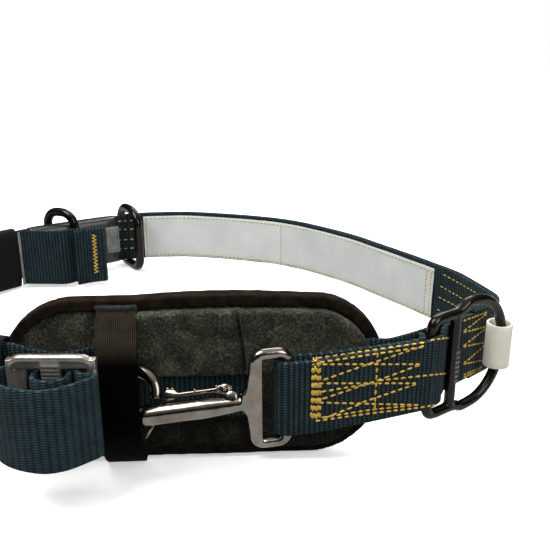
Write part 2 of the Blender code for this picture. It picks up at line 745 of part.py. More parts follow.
def make_hook(parts, cutters, looks):
    """Chrome hook: upright frame, thick arm with its nose, and bowl in one, with the gate's fork."""
    chrome = looks["chrome_steel"]
    turn = atan2(HOOK_FRAME_RIGHT.y - HOOK_FRAME_LEFT.y, HOOK_FRAME_RIGHT.x - HOOK_FRAME_LEFT.x)
    middle = (HOOK_FRAME_RIGHT + HOOK_FRAME_LEFT) / 2
    span = (HOOK_FRAME_RIGHT - HOOK_FRAME_LEFT).xy.length
    points = rounded_frame(span / 2, HOOK_FRAME_HALF, 0.0055, 0.0055, Vector((0, 0, middle.z)), 3)
    placed = Matrix.Translation((middle.x, middle.y, 0)) @ Matrix.Rotation(turn, 4, "Z")
    points = [placed @ point for point in points]
    frame = wire("hook_frame", points, HOOK_BAR, cutters, None, closed=True, sides=3)
    own = hook_matrix()
    centre = Vector((HOOK_BOWL_X, HOOK_BOWL_RADIUS, 0))
    start = -pi / 2
    sweep = HOOK_TIP_ANGLE - pi * 1.5
    bowl = [
        centre + Vector((cos(start + sweep * k / 16), sin(start + sweep * k / 16), 0)) * HOOK_BOWL_RADIUS
        for k in range(17)
    ]
    route = [own @ Vector((HOOK_NOSE_X + 0.0100, 0, 0))] + [own @ point for point in bowl]
    spine = wire("hook_spine", route, HOOK_SPINE, cutters, None, sides=3)
    route = [own @ Vector((HOOK_NOSE_X + reach, 0, 0)) for reach, _ in HOOK_NOSE]
    arm = wire("hook_arm", route, HOOK_ARM, cutters, None, sides=3)
    for point, (_, share) in zip(arm.data.splines[0].points, HOOK_NOSE):
        point.radius = share
    outline = [(x - span / 2, z + middle.z) for x, z in HOOK_PLATE]
    flat = plate("hook_plate", outline, -HOOK_PLATE_HALF, HOOK_PLATE_HALF, cutters)
    flat.matrix_world = placed
    fuse("hook_body", [frame, flat, arm, spine] + gate_seat(cutters), parts, cutters, chrome)


def make_gate(parts, cutters, looks):
    """The gate: a bar that closes from its pin to the bowl's tip, with the pin through it."""
    own = hook_matrix()
    level = GATE_LEVEL
    low_x = HOOK_BOWL_X + HOOK_BOWL_RADIUS + HOOK_SPINE + 0.0006
    rows = (
        (low_x, -0.0018),
        (low_x + 0.0016, -0.0024),
        (low_x + 0.0066, -0.0022),
        (low_x + 0.0086, -0.0010),
        (GATE_PIN_X - 0.0066, -0.0010),
        (GATE_PIN_X - 0.0030, -0.0024),
        (GATE_PIN_X + 0.0020, -0.0026),
        (GATE_PIN_X + 0.0040, -0.0008),
        (GATE_PIN_X + 0.0040, 0.0014),
        (GATE_PIN_X + 0.0016, 0.0030),
        (GATE_PIN_X - 0.0026, 0.0028),
        (GATE_PIN_X - 0.0060, 0.0012),
        (low_x + 0.0086, 0.0012),
        (low_x + 0.0062, 0.0036),
        (low_x + 0.0014, 0.0038),
        (low_x, 0.0026),
    )
    outline = [(x, level + rise) for x, rise in rows]
    bm = bmesh.new()
    pivot = Vector((GATE_PIN_X, level, 0))
    face = bm.faces.new([bm.verts.new((x - pivot.x, y - pivot.y, -GATE_WIDE / 2)) for x, y in outline])
    raised = bmesh.ops.extrude_face_region(bm, geom=[face])["geom"]
    lifted = [part for part in raised if isinstance(part, bmesh.types.BMVert)]
    bmesh.ops.translate(bm, verts=lifted, vec=(0, 0, GATE_WIDE))
    gate = mesh_object("gate_blank", bm, cutters)
    gate.matrix_world = own @ Matrix.Translation(pivot)
    drill = bmesh.new()
    bmesh.ops.create_cone(
        drill, cap_ends=True, segments=16, radius1=GATE_PIN_RADIUS + 0.0003, radius2=GATE_PIN_RADIUS + 0.0003,
        depth=GATE_WIDE * 3,
    )
    hole = mesh_object("gate_drill", drill, cutters)
    hole.matrix_world = gate.matrix_world
    boolean(gate, hole, "DIFFERENCE")
    settle(gate, "hook_gate", parts, looks["chrome_steel"])


def make_slide(parts, cutters, looks):
    """Three bar slide: a rounded frame, its flat left side and top rail, and the tab on its centre bar."""
    chrome = looks["chrome_steel"]
    points = rounded_frame(
        SLIDE_LENGTH / 2 - SLIDE_WIRE, SLIDE_HALF, 0.006, 0.006, Vector((0, 0, SLIDE_CENTRE.z)), 3
    )
    place = Matrix.Translation((SLIDE_CENTRE.x, SLIDE_CENTRE.y, 0))
    outline = wire("slide_frame", [place @ point for point in points], SLIDE_WIRE, cutters, None, closed=True)
    low = SLIDE_CENTRE - Vector((0, 0, SLIDE_HALF))
    high = SLIDE_CENTRE + Vector((0, 0, SLIDE_HALF))
    bar = wire("slide_bar", [low, high], SLIDE_WIRE * 0.95, cutters, None)
    x, y, z = SLIDE_CENTRE
    left = x - SLIDE_LENGTH / 2 + SLIDE_WIRE
    right = x + SLIDE_LENGTH / 2 - SLIDE_WIRE
    plates = (
        ("slide_side", (left, -0.0018, -0.0240), (left + 0.0085, 0.0018, 0.0240)),
        ("slide_rail", (left, -0.0020, 0.0250), (right, 0.0020, 0.0290)),
        ("slide_tab", (x - 0.0048, -0.0028, 0.0180), (x + 0.0048, 0.0010, 0.0292)),
    )
    pieces = [outline, bar]
    for name, low, high in plates:
        piece = box(name, low, high, cutters)
        piece.location = (0.0, y, z)
        pieces.append(piece)
    fuse("slide_buckle", pieces, parts, cutters, chrome)


def make_slide_loops(parts, looks):
    """The inner loop round the slide's centre bar, and the outer loop through its slot round its left bar."""
    navy = looks["navy_webbing"]
    x, y, z = SLIDE_CENTRE
    reach = SLIDE_WIRE + GAP + WEB_THICK / 2
    inner = (
        (0.0, reach),
        (-0.0045, reach - 0.0006),
        (-0.0098, -0.0010),
        (-0.0080, -0.0090),
        (0.0, -0.0118),
        (0.0080, -0.0090),
        (0.0098, -0.0010),
        (0.0045, reach - 0.0006),
    )
    line, _ = smooth_line([Vector((x + a, y + b, z - 0.0010)) for a, b in inner], 0.0035, closed=True)
    strip("slide_inner_loop", line, INNER_LOOP_WIDTH, WEB_THICK, parts, navy, closed=True)
    left = x - SLIDE_LENGTH / 2 + SLIDE_WIRE
    right = x + SLIDE_LENGTH / 2 - SLIDE_WIRE
    behind = y + reach + LAYER_STEP
    outer = (
        (left - reach - 0.0040, y - 0.0020),
        (left - reach - 0.0044, y - 0.0095),
        (left - 0.0040, y - 0.0162),
        (left + 0.0035, y - 0.0212),
        (left + 0.0125, y - 0.0245),
        (x - 0.0010, y - 0.0259),
        (x + 0.0070, y - 0.0240),
        (x + 0.0127, y - 0.0209),
        (x + 0.0203, y - 0.0144),
        (right + 0.0022, y - 0.0104),
        (right + 0.0038, y - 0.0078),
        (right + 0.0024, y - 0.0056),
        (right - 0.0040, y - 0.0058),
        (right - 0.0076, y - 0.0036),
        (right - 0.0084, y + 0.0010),
        (right - 0.0100, y + 0.0060),
        (x + 0.0060, behind + 0.0004),
        (x - 0.0060, behind + 0.0004),
        (left + 0.0040, y + reach + 0.0022),
        (left - 0.0022, y + 0.0046),
    )
    line, _ = smooth_line([Vector((a, b, z - 0.0010)) for a, b in outer], 0.0040, closed=True)
    strip("slide_outer_loop", line, WEB_WIDTH, WEB_THICK, parts, navy, closed=True)


def main():
    """Builds the belt."""
    clear_scene()
    parts = make_collection(COLLECTION)
    cutters = make_collection(CUTTERS)
    looks = make_materials()
    line, at = belt_line()
    join, run = make_straps(line, at, parts, looks)
    make_label(line, at, parts, looks)
    make_sleeves(line, at, parts, looks)
    make_tail(parts, looks)
    ring = (Vector((-0.0812, 0.1940)), Vector((-0.1060, 0.2300)))
    make_link("keeper_ring_b", *ring, 0.0710, 0.0165, 0.0120, parts, looks)
    ring = (Vector((-0.1426, 0.1728)), Vector((-0.1738, 0.1866)))
    make_link("keeper_ring_a", *ring, 0.0760, 0.0140, 0.0060, parts, looks)
    make_d_ring(parts, cutters, looks)
    make_hook_strap(join, run, parts, looks)
    make_pad(parts, cutters, looks)
    make_pad_loop(parts, looks)
    make_hook(parts, cutters, looks)
    make_gate(parts, cutters, looks)
    make_slide(parts, cutters, looks)
    make_slide_loops(parts, looks)
    root = bpy.data.objects.new("belt_stand", None)
    parts.objects.link(root)
    root.location = STAND_SHIFT
    for thing in parts.objects:
        if thing is not root:
            thing.parent = root


main()
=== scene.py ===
"""Looks of the padded escape belt: webbing, felt pad, leather, coated rings and a plated snap hook.

Everything is in metres in the belt's own frame: +Z up, the table at z = 0, and the near side
with the pad and the hook faces -Y. Routes run anticlockwise seen from above.
"""

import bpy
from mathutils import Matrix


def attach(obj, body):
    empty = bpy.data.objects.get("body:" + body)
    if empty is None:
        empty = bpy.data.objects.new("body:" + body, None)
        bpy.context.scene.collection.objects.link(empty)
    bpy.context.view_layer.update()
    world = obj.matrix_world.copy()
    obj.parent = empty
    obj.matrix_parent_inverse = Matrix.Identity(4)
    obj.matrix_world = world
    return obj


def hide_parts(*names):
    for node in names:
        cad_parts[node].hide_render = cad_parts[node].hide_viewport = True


bl_info = {
    "name": "Escape belt looks",
    "version": (1, 0, 0),
    "blender": (4, 5, 0),
    "location": "View3D > Sidebar > Escape belt",
    "description": "Builds the webbing, pad, leather, rings and hook of an escape belt on its CAD frame",
    "category": "Object",
}

from contextlib import contextmanager
from functools import partial
from math import atan2, cos, exp, pi, radians, sin, tau

import bmesh
import bpy
from bpy.props import FloatProperty, PointerProperty, StringProperty
from mathutils import Matrix, Vector, noise
from mathutils.bvhtree import BVHTree

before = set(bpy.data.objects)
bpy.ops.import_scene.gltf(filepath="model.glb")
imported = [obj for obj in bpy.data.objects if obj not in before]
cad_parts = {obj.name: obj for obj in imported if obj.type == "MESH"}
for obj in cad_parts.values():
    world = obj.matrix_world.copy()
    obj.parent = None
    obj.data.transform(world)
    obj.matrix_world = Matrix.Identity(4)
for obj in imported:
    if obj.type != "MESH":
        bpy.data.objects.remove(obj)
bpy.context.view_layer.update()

# The camera that the photograph gives: its place over the table, tilt and view
PHOTO_SIZE = 550.0
SENSOR = 0.036
FOCAL_PIXELS = 760.0
CAMERA_PLACE = Vector((0.07097, -0.58355, 0.2758))
CAMERA_TILT = radians(19.77)

# How far the belt was moved, from the place it was drawn in, to the middle of its box on the table
STAND_SHIFT = Vector((0.00697, -0.00211, -0.00021))
# The straps' widths, thicknesses and heights of their middles, as the CAD solids have them
WEB_WIDTH = 0.0508
WEB_THICK = 0.0026
HOOK_WEB_WIDTH = 0.0470
HOOK_WEB_THICK = 0.0034
LAYER_STEP = 0.0030
FAR_HEIGHT = 0.0340
NEAR_HEIGHT = 0.0565
# The belt's middle, by name and place; near_b and near_c lie 1.2 mm lower than in the CAD
BELT_ROUTE = (
    ("d_bar", 0.1735, -0.1287, 0.0565),
    ("d_opening", 0.1945, -0.1090, 0.0560),
    ("turn_near", 0.2205, -0.0710, 0.0470),
    ("turn", 0.2325, -0.0330, 0.0372),
    ("turn_far", 0.2290, -0.0040, 0.0340),
    ("far_right", 0.2180, 0.0260, FAR_HEIGHT),
    ("label_right", 0.1990, 0.0560, FAR_HEIGHT),
    ("far_b", 0.1630, 0.1060, FAR_HEIGHT),
    ("far_c", 0.1290, 0.1480, FAR_HEIGHT),
    ("far_d", 0.0690, 0.1960, FAR_HEIGHT),
    ("far_e", -0.0180, 0.2220, FAR_HEIGHT),
    ("label_left", -0.0640, 0.2225, FAR_HEIGHT),
    ("ring_b", -0.0900, 0.2175, FAR_HEIGHT),
    ("leather_right", -0.1080, 0.2090, FAR_HEIGHT),
    ("leather_mid", -0.1430, 0.1885, FAR_HEIGHT),
    ("leather_left", -0.1870, 0.1613, FAR_HEIGHT),
    ("sleeve_far", -0.1985, 0.1500, FAR_HEIGHT),
    ("left_far", -0.2180, 0.1220, 0.0355),
    ("left_a", -0.2380, 0.0680, 0.0380),
    ("left_b", -0.2440, 0.0100, 0.0440),
    ("left_c", -0.2360, -0.0480, 0.0510),
    ("left_near", -0.2060, -0.1080, 0.0570),
    ("left_pad", -0.1530, -0.1575, 0.0625),
    ("sleeve_near", -0.0905, -0.1832, 0.0665),
    ("near_b", -0.0760, -0.1850, 0.0628),
    ("near_c", -0.0590, -0.1797, 0.0586),
    ("near_d", -0.0420, -0.1688, 0.0572),
    ("tunnel_in", -0.0260, -0.1652, 0.0565),
    ("tunnel_a", 0.0150, -0.1627, 0.0565),
    ("tunnel_b", 0.0600, -0.1599, 0.0565),
    ("tunnel_c", 0.1000, -0.1575, 0.0565),
    ("tunnel_d", 0.1265, -0.1559, 0.0565),
    ("tunnel_out", 0.1355, -0.1553, 0.0565),
    ("behind_lap", 0.1560, -0.1430, 0.0565),
)


def linear(colour):
    """An sRGB hex colour as linear red, green, blue and alpha."""
    parts = [int(colour[k:k + 2], 16) / 255 for k in (1, 3, 5)]
    return (*(c / 12.92 if c <= 0.04045 else ((c + 0.055) / 1.055) ** 2.4 for c in parts), 1.0)


def add_node(tree, kind, sockets=None, links=None, **settings):
    """A node with its settings, socket values and incoming links."""
    made = tree.nodes.new(kind)
    for name, value in settings.items():
        setattr(made, name, value)
    for name, value in (sockets or {}).items():
        made.inputs[name].default_value = value
    for name, source in (links or {}).items():
        tree.links.new(source, made.inputs[name])
    return made


def new_material(name, roughness, metallic=0.0, **sockets):
    """A material with its Principled shader, and its node tree."""
    material = bpy.data.materials.new(name)
    material.use_nodes = True
    shader = material.node_tree.nodes["Principled BSDF"]
    shader.inputs["Roughness"].default_value = roughness
    shader.inputs["Metallic"].default_value = metallic
    for key, value in sockets.items():
        shader.inputs[key.replace("_", " ")].default_value = value
    return material, material.node_tree, shader


def math_node(tree, operation, first, second=None):
    """The result of one sum on a socket, and a second socket or number."""
    made = add_node(tree, "ShaderNodeMath", links={0: first}, operation=operation)
    if isinstance(second, (int, float)):
        made.inputs[1].default_value = second
    elif second is not None:
        tree.links.new(second, made.inputs[1])
    return made.outputs[0]


def ramp(tree, factor, stops):
    """A colour ramp between hex colours at given places."""
    made = add_node(tree, "ShaderNodeValToRGB", links={"Fac": factor})
    band = made.color_ramp
    while len(band.elements) < len(stops):
        band.elements.new(0.5)
    for element, (place, colour) in zip(band.elements, stops):
        element.position = place
        element.color = linear(colour)
    return made.outputs["Color"]


def mottle(tree, size_mm, detail):
    """Soft noise on Object coordinates, with patches about the given size across."""
    place = add_node(tree, "ShaderNodeTexCoord").outputs["Object"]
    sockets = {"Scale": MM / size_mm, "Detail": detail, "Roughness": 0.6}
    return add_node(tree, "ShaderNodeTexNoise", sockets=sockets, links={"Vector": place}).outputs["Fac"]


def tint(tree, shader, patch_mm, detail, *stops):
    """A base colour that drifts between hex colours, in patches of the given size."""
    tree.links.new(ramp(tree, mottle(tree, patch_mm, detail), stops), shader.inputs["Base Color"])


def mapped(tree, value, low, high, first, last):
    """A socket's value between two limits, turned into one between two others."""
    sockets = {"From Min": low, "From Max": high, "To Min": first, "To Max": last}
    return add_node(tree, "ShaderNodeMapRange", sockets=sockets, links={"Value": value}).outputs["Result"]


def relief(tree, shader, height, strength, distance=0.0003):
    """Gives a surface the small bumps of a height, a distance in metres deep at full strength."""
    sockets = {"Strength": strength, "Distance": distance}
    bump = add_node(tree, "ShaderNodeBump", sockets=sockets, links={"Height": height})
    tree.links.new(bump.outputs["Normal"], shader.inputs["Normal"])


def woven(name, low, mid, high, rib_mm, pick_mm, depth, across=True, ridge=0.7, shine=0.18, shade_fade=None):
    """Woven narrow cloth: ribs of a given spacing broken up by picks, on the piece's own weave attribute,
    with painted shade in the valleys between them.
    """
    material, tree, shader = new_material(name, 0.8, Sheen_Weight=shine * 0.2, Specular_IOR_Level=shine)
    calc = partial(math_node, tree)
    run = add_node(tree, "ShaderNodeAttribute", attribute_name="weave").outputs["Vector"]
    axes = add_node(tree, "ShaderNodeSeparateXYZ", links={"Vector": run})
    along, up = axes.outputs["X"], axes.outputs["Y"]
    if not across:
        along, up = up, along
    rib = calc("ABSOLUTE", calc("SINE", calc("MULTIPLY", along, pi / rib_mm)))
    # every other rib has its picks half a step further
    parity = calc("MODULO", calc("FLOOR", calc("DIVIDE", along, rib_mm)), 2.0)
    turn = calc("ADD", calc("MULTIPLY", up, pi / pick_mm), calc("MULTIPLY", parity, pi / 2))
    pick = calc("ABSOLUTE", calc("SINE", turn))
    broken = calc("ADD", calc("MULTIPLY", pick, PICK_SHARE), 1 - PICK_SHARE)
    height = calc("MULTIPLY", calc("POWER", rib, ridge), broken)
    worn = calc("SUBTRACT", calc("MULTIPLY", mottle(tree, WEAR_MM, 5.0), 0.5), 0.2)
    # painted shade: the ribs' valleys get darker colours than their crests, and the mottle adds wear
    shade = calc("ADD", calc("MULTIPLY", height, 0.75), worn)
    colour = ramp(tree, shade, ((0.10, low), (0.50, mid), (0.92, high)))
    # painted shade: where a fade is given, the colour darkens towards the bottom
    if shade_fade:
        colour = painted_shade_below(tree, colour, shade_fade)
    tree.links.new(colour, shader.inputs["Base Color"])
    relief(tree, shader, height, depth, 0.0007)
    return material


def painted_shade_below(tree, colour, shade_fade):
    """A colour with painted shade that darkens it downwards: the share left at the lower height, and both
    heights in metres.
    """
    share, low, high = shade_fade
    place = add_node(tree, "ShaderNodeTexCoord").outputs["Object"]
    level = add_node(tree, "ShaderNodeSeparateXYZ", links={"Vector": place}).outputs["Z"]
    mixed = add_node(tree, "ShaderNodeVectorMath", links={0: colour}, operation="SCALE")
    tree.links.new(mapped(tree, level, low, high, share, 1.0), mixed.inputs["Scale"])
    return mixed.outputs["Vector"]


def felt(name, low, high, fleck, shade_fade):
    """Brushed felt: matt fibres in two tones with light flecks, drawn coarser than real so that they show."""
    material, tree, shader = new_material(name, 0.96, Sheen_Weight=0.06, Specular_IOR_Level=0.1)
    calc = partial(math_node, tree)
    fine = mottle(tree, FIBRE_MM, 6.0)
    cloud = calc("MULTIPLY", mottle(tree, CLOUD_MM, 4.0), 0.4)
    mixed = calc("ADD", cloud, calc("MULTIPLY", fine, 0.6))
    colour = ramp(tree, mixed, ((0.40, low), (0.52, high), (0.66, fleck)))
    # painted shade: the felt darkens towards the bottom
    tree.links.new(painted_shade_below(tree, colour, shade_fade), shader.inputs["Base Color"])
    relief(tree, shader, fine, 0.6, 0.0006)
    return material


def polished(name, low, high, roughness, patch_mm, metallic=1.0):
    """Plated or coated steel: smooth, with soft stains and fine wear in its gloss."""
    material, tree, shader = new_material(name, roughness, metallic)
    tint(tree, shader, patch_mm, 3.0, (0.30, low), (0.70, high))
    wear = mottle(tree, SCUFF_MM, 4.0)
    gloss = mapped(tree, wear, 0.3, 0.75, roughness * 0.85, roughness * 1.3)
    tree.links.new(gloss, shader.inputs["Roughness"])
    relief(tree, shader, wear, 0.05)
    return material


def leather(name, low, high, roughness):
    """Finished leather: a fine pebble grain with a soft gloss."""
    material, tree, shader = new_material(name, roughness, Coat_Weight=0.15, Coat_Roughness=0.3)
    place = add_node(tree, "ShaderNodeTexCoord").outputs["Object"]
    cells = add_node(tree, "ShaderNodeTexVoronoi", sockets={"Scale": MM / PEBBLE_MM}, links={"Vector": place})
    tint(tree, shader, 11.0, 4.0, (0.36, low), (0.66, high))
    relief(tree, shader, cells.outputs["Distance"], 0.35)
    return material


def plain(name, low, high, roughness, patch_mm, bump_mm, strength, **sockets):
    """Smooth cloth, thread or plastic with a slight change of tone and a fine unevenness."""
    material, tree, shader = new_material(name, roughness, **sockets)
    tint(tree, shader, patch_mm, 3.0, (0.35, low), (0.65, high))
    relief(tree, shader, mottle(tree, bump_mm, 4.0), strength)
    return material


def paper(name):
    """White paper that the camera sees evenly lit, and that throws little light back under the belt."""
    material, tree, shader = new_material(name, 0.9, Specular_IOR_Level=0.0)
    calc = partial(math_node, tree)
    rays = add_node(tree, "ShaderNodeLightPath").outputs
    seen = rays["Is Camera Ray"]
    shade = ramp(tree, seen, ((0.0, "#6A6A6A"), (1.0, "#FCFCFC")))
    tree.links.new(shade, shader.inputs["Base Color"])
    tree.links.new(shade, shader.inputs["Emission Color"])
    mirrored = calc("MULTIPLY", rays["Is Glossy Ray"], MIRRORED_GLOW)
    glow = calc("ADD", calc("MULTIPLY", seen, SEEN_GLOW), mirrored)
    tree.links.new(glow, shader.inputs["Emission Strength"])
    return material


MATERIALS = {}

# Patterns, by their sizes in millimetres
MM = 1000.0
WEAR_MM = 7.0
FIBRE_MM = 1.5
CLOUD_MM = 14.0
SCUFF_MM = 4.0
PEBBLE_MM = 1.1
WAVE_MM = 22.0
# The part of a rib's height that its picks break up, and the paper's own light to the eye and in mirrors
PICK_SHARE = 0.72
SEEN_GLOW = 0.45
MIRRORED_GLOW = 3.5


def make_materials(looks):
    """Every finish, from what the real one is and how it was made."""
    low, high = looks.navy_low, looks.navy_high
    MATERIALS.update(
        # woven polyester: matt, with ribs drawn at the spacing that the photo shows
        # painted shade: the first, near-black colour of each woven cloth fills the valleys between its ribs
        webbing=woven("polyester_webbing_navy", "#04080A", low, high, 3.1, 1.7, 0.9),
        # the slide's loops show the same webbing in sharper columns
        webbing_rows=woven("polyester_webbing_navy_rows", "#05090B", low, high, 4.3, 1.6, 0.8, ridge=0.22),
        # tubular nylon: nearly black, its fine ribs drawn coarse enough to show
        sleeve=woven("tubular_nylon_black", "#080909", "#121413", "#1C1E1D", 0.9, 0.9, 0.3),
        # knitted elastic: dull brown-black with ribs along it, and painted shade that makes it nearly black
        # below its top
        elastic=woven(
            "knitted_elastic_brown_black", "#0C0A07", "#2A261D", "#464135", 1.1, 0.9, 0.5, across=False,
            shine=0.02, shade_fade=(0.02, 0.080, 0.0915)
        ),
        # twill tape: matt and nearly black
        binding=plain("twill_tape_black", "#100B07", "#241C12", 0.95, 6.0, 1.2, 0.5, Specular_IOR_Level=0.1),
        # wool felt: matt grey-green, with painted shade that leaves it lighter at the top and darker towards
        # the bottom
        felt=felt("wool_felt_grey_green", "#1B1C15", "#393B31", "#66695A", (0.45, 0.022, 0.075)),
        # finished calf: black with a soft gloss; the split leather is grey and dry
        leather=leather("calf_leather_black", "#20231F", "#3A3E3A", 0.24),
        patch=leather("split_leather_grey", "#6C6D6C", "#949593", 0.5),
        # coated satin: pale and even
        satin=plain("coated_satin_pale", "#DFE3DF", "#E9EDE8", 0.5, 26.0, 1.0, 0.05, Specular_IOR_Level=0.2),
        # soft PVC: ivory, with a painted glow: a little emission stands in for light coming through it
        plastic=plain("pvc_tube_ivory", "#D8D2BC", "#E4DFCB", 0.4, 18.0, 2.0, 0.05, Emission_Strength=0.14),
        # lacquered steel: black with sharp highlights
        black_steel=polished("black_lacquered_steel", "#0E0B08", "#1B1711", 0.17, 12.0, metallic=0.35),
        # zinc and nickel plate: dull, worn and bright grey
        dull_steel=polished("zinc_plated_steel", "#625E5B", "#84807B", 0.5, 6.0),
        worn_chrome=polished("nickel_plated_steel_worn", "#8E8980", "#B8B3AA", 0.30, 7.0, metallic=0.75),
        chrome=polished("nickel_plated_steel", "#78726A", "#9E978C", 0.17, 14.0),
        # bonded thread: a soft sheen, golden on the webbing and slate on the leather
        thread=plain("bonded_thread_golden", "#C49C34", "#EBC75C", 0.6, 3.0, 0.5, 0.4),
        dark_thread=plain("bonded_thread_slate", "#1A2126", "#3A474E", 0.7, 3.0, 0.5, 0.4),
        table=paper("matt_paper_white"),
    )


SMOOTH_UNDER = radians(60)
CURVE_STEPS = 5


def settle(piece, material, replaces=(), body="belt"):
    """Gives a finished piece its finish and its body, and hides the CAD nodes that it stands for."""
    piece.data.materials.clear()
    piece.data.materials.append(MATERIALS[material])
    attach(piece, body)
    if replaces:
        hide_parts(*replaces)
    return piece


def new_object(name, data):
    """An object in the scene."""
    made = bpy.data.objects.new(name, data)
    bpy.context.scene.collection.objects.link(made)
    return made


def new_piece(name, bm):
    """A piece from a bmesh, shaded smooth under SMOOTH_UNDER."""
    mesh = bpy.data.meshes.new(name)
    bm.to_mesh(mesh)
    bm.free()
    mesh.shade_smooth()
    mesh.set_sharp_from_angle(angle=SMOOTH_UNDER)
    return new_object(name, mesh)


@contextmanager
def editing(piece):
    """A piece's mesh as a bmesh, and back."""
    bm = bmesh.new()
    bm.from_mesh(piece.data)
    yield bm
    bm.to_mesh(piece.data)
    bm.free()


def modify(piece, kind, **settings):
    """Puts a modifier with its settings on a piece."""
    made = piece.modifiers.new(kind.lower(), kind)
    for name, value in settings.items():
        setattr(made, name, value)


def bake_modifiers(piece):
    """The piece with its modifiers in its mesh."""
    bpy.context.view_layer.update()
    graph = bpy.context.evaluated_depsgraph_get()
    mesh = bpy.data.meshes.new_from_object(piece.evaluated_get(graph))
    piece.modifiers.clear()
    piece.data = mesh
    mesh.shade_smooth()
    return piece


def smooth_line(points, step, closed=False):
    """Points about a step apart on a smooth curve through the given ones, and the index of each given one."""
    count = len(points)
    spans = count if closed else count - 1
    line = []
    marks = []
    for k in range(spans):
        if closed:
            a, b, c, d = (points[(k + j) % count] for j in (-1, 0, 1, 2))
        else:
            b, c = points[k], points[k + 1]
            a = points[k - 1] if k else b * 2 - c
            d = points[k + 2] if k + 2 < count else c * 2 - b
        marks.append(len(line))
        pieces = max(1, round((c - b).length / step))
        for j in range(pieces):
            t = j / pieces
            line.append(
                ((b * 2) + (c - a) * t + (a * 2 - b * 5 + c * 4 - d) * t * t
                 + (b * 3 - a - c * 3 + d) * t * t * t) / 2
            )
    if not closed:
        marks.append(len(line))
        line.append(points[-1].copy())
    return line, marks


def beside(line, distance, closed=False):
    """A line beside another in plan, to the left of its run for a positive distance."""
    moved = []
    last = len(line) - 1
    for k, point in enumerate(line):
        before = line[k - 1] if k or closed else point
        after = line[(k + 1) % len(line)] if k < last or closed else point
        one = (point - before).xy if before is not point else (after - point).xy
        two = (after - point).xy if after is not point else one
        one = one.normalized()
        two = two.normalized()
        left = Vector((-one.y - two.y, one.x + two.x)).normalized()
        reach = distance / max(0.5, left.dot(Vector((-one.y, one.x))))
        moved.append(point + Vector((left.x * reach, left.y * reach, 0.0)))
    return moved


def belt_line(step=0.003):
    """The inner webbing's middle all the way round, and the index of each named place."""
    points = [Vector(row[1:]) + STAND_SHIFT for row in BELT_ROUTE]
    line, marks = smooth_line(points, step, closed=True)
    return line, {row[0]: mark for row, mark in zip(BELT_ROUTE, marks)}


def stretch(line, first, last):
    """Part of a closed line, between two of its indexes."""
    if last > first:
        return [point.copy() for point in line[first:last + 1]]
    return [point.copy() for point in line[first:] + line[:last + 1]]


def length_of(line):
    """The length of a line of points."""
    return sum((b - a).length for a, b in zip(line, line[1:]))


def of_kind(parts, kind):
    """The parts of a mesh that are of one kind."""
    return [part for part in parts if isinstance(part, kind)]


def webbing(name, line, width, thick, closed=False, wave=0.0, rows=6):
    """Flat webbing on edge along its middle: a ribbon with a soft selvedge, and its weave attribute in mm."""
    bm = bmesh.new()
    weave = bm.verts.layers.float_vector.new("weave")
    post = bm.verts.layers.int.new("post")
    low = [bm.verts.new(point - Vector((0, 0, width / 2))) for point in line]
    travel = 0.0
    for k, vert in enumerate(low):
        travel += (line[k] - line[k - 1]).length * MM if k else 0.0
        vert[weave] = (travel, 0.0, 0.0)
        vert[post] = k
    edges = [bm.edges.new((a, b)) for a, b in zip(low, low[1:])]
    if closed:
        edges.append(bm.edges.new((low[-1], low[0])))
    sides = beside(line, 1.0, closed)
    for _ in range(rows):
        raised = bmesh.ops.extrude_edge_only(bm, edges=edges)["geom"]
        lifted = of_kind(raised, bmesh.types.BMVert)
        above = set(lifted)
        edges = [edge for edge in of_kind(raised, bmesh.types.BMEdge) if above.issuperset(edge.verts)]
        bmesh.ops.translate(bm, verts=lifted, vec=(0, 0, width / rows))
        for vert in lifted:
            vert[weave] = (vert[weave].x, vert[weave].y + width * MM / rows, 0.0)
    for vert in bm.verts:
        spot = Vector((vert[weave].x / WAVE_MM, vert[weave].y / (width * MM) * 1.7, len(name)))
        vert.co += (sides[vert[post]] - line[vert[post]]).normalized() * (wave * noise.noise(spot))
    bmesh.ops.recalc_face_normals(bm, faces=bm.faces)
    ribbon = new_piece(name, bm)
    modify(ribbon, "SOLIDIFY", thickness=thick, offset=0.0, use_even_offset=True)
    modify(ribbon, "BEVEL", width=thick * 0.42, segments=3, limit_method="ANGLE", angle_limit=radians(60))
    return bake_modifiers(ribbon)


def tube(name, line, radius, closed=False, squash=None):
    """A round bar along a line, with the share of its radius at each point where squash gives them."""
    curve = bpy.data.curves.new(name, "CURVE")
    curve.dimensions = "3D"
    curve.bevel_depth = radius
    curve.bevel_resolution = CURVE_STEPS
    curve.use_fill_caps = True
    run = curve.splines.new("POLY")
    run.points.add(len(line) - 1)
    for target, point, share in zip(run.points, line, squash or [1.0] * len(line)):
        target.co = (*point, 1.0)
        target.radius = share
    run.use_cyclic_u = closed
    thing = new_object(name, curve)
    graph = bpy.context.evaluated_depsgraph_get()
    mesh = bpy.data.meshes.new_from_object(thing.evaluated_get(graph))
    bpy.data.objects.remove(thing, do_unlink=True)
    piece = new_object(name, mesh)
    with editing(piece) as bm:
        bmesh.ops.remove_doubles(bm, verts=bm.verts, dist=0.00001)
        bmesh.ops.recalc_face_normals(bm, faces=bm.faces)
    mesh.shade_smooth()
    return piece


def joined(name, pieces):
    """Several pieces as one object."""
    bm = bmesh.new()
    for piece in pieces:
        bm.from_mesh(piece.data)
        bpy.data.objects.remove(piece, do_unlink=True)
    return new_piece(name, bm)


def remeshed(piece, voxel, rounds):
    """A piece with one even skin, smoothed so that its joints and edges get soft fillets."""
    modify(piece, "REMESH", mode="VOXEL", voxel_size=voxel)
    modify(piece, "SMOOTH", factor=0.5, iterations=rounds)
    return bake_modifiers(piece)


def cast_as_one(name, pieces, voxel, rounds):
    """Overlapping forms as one casting."""
    return remeshed(joined(name, pieces), voxel, rounds)


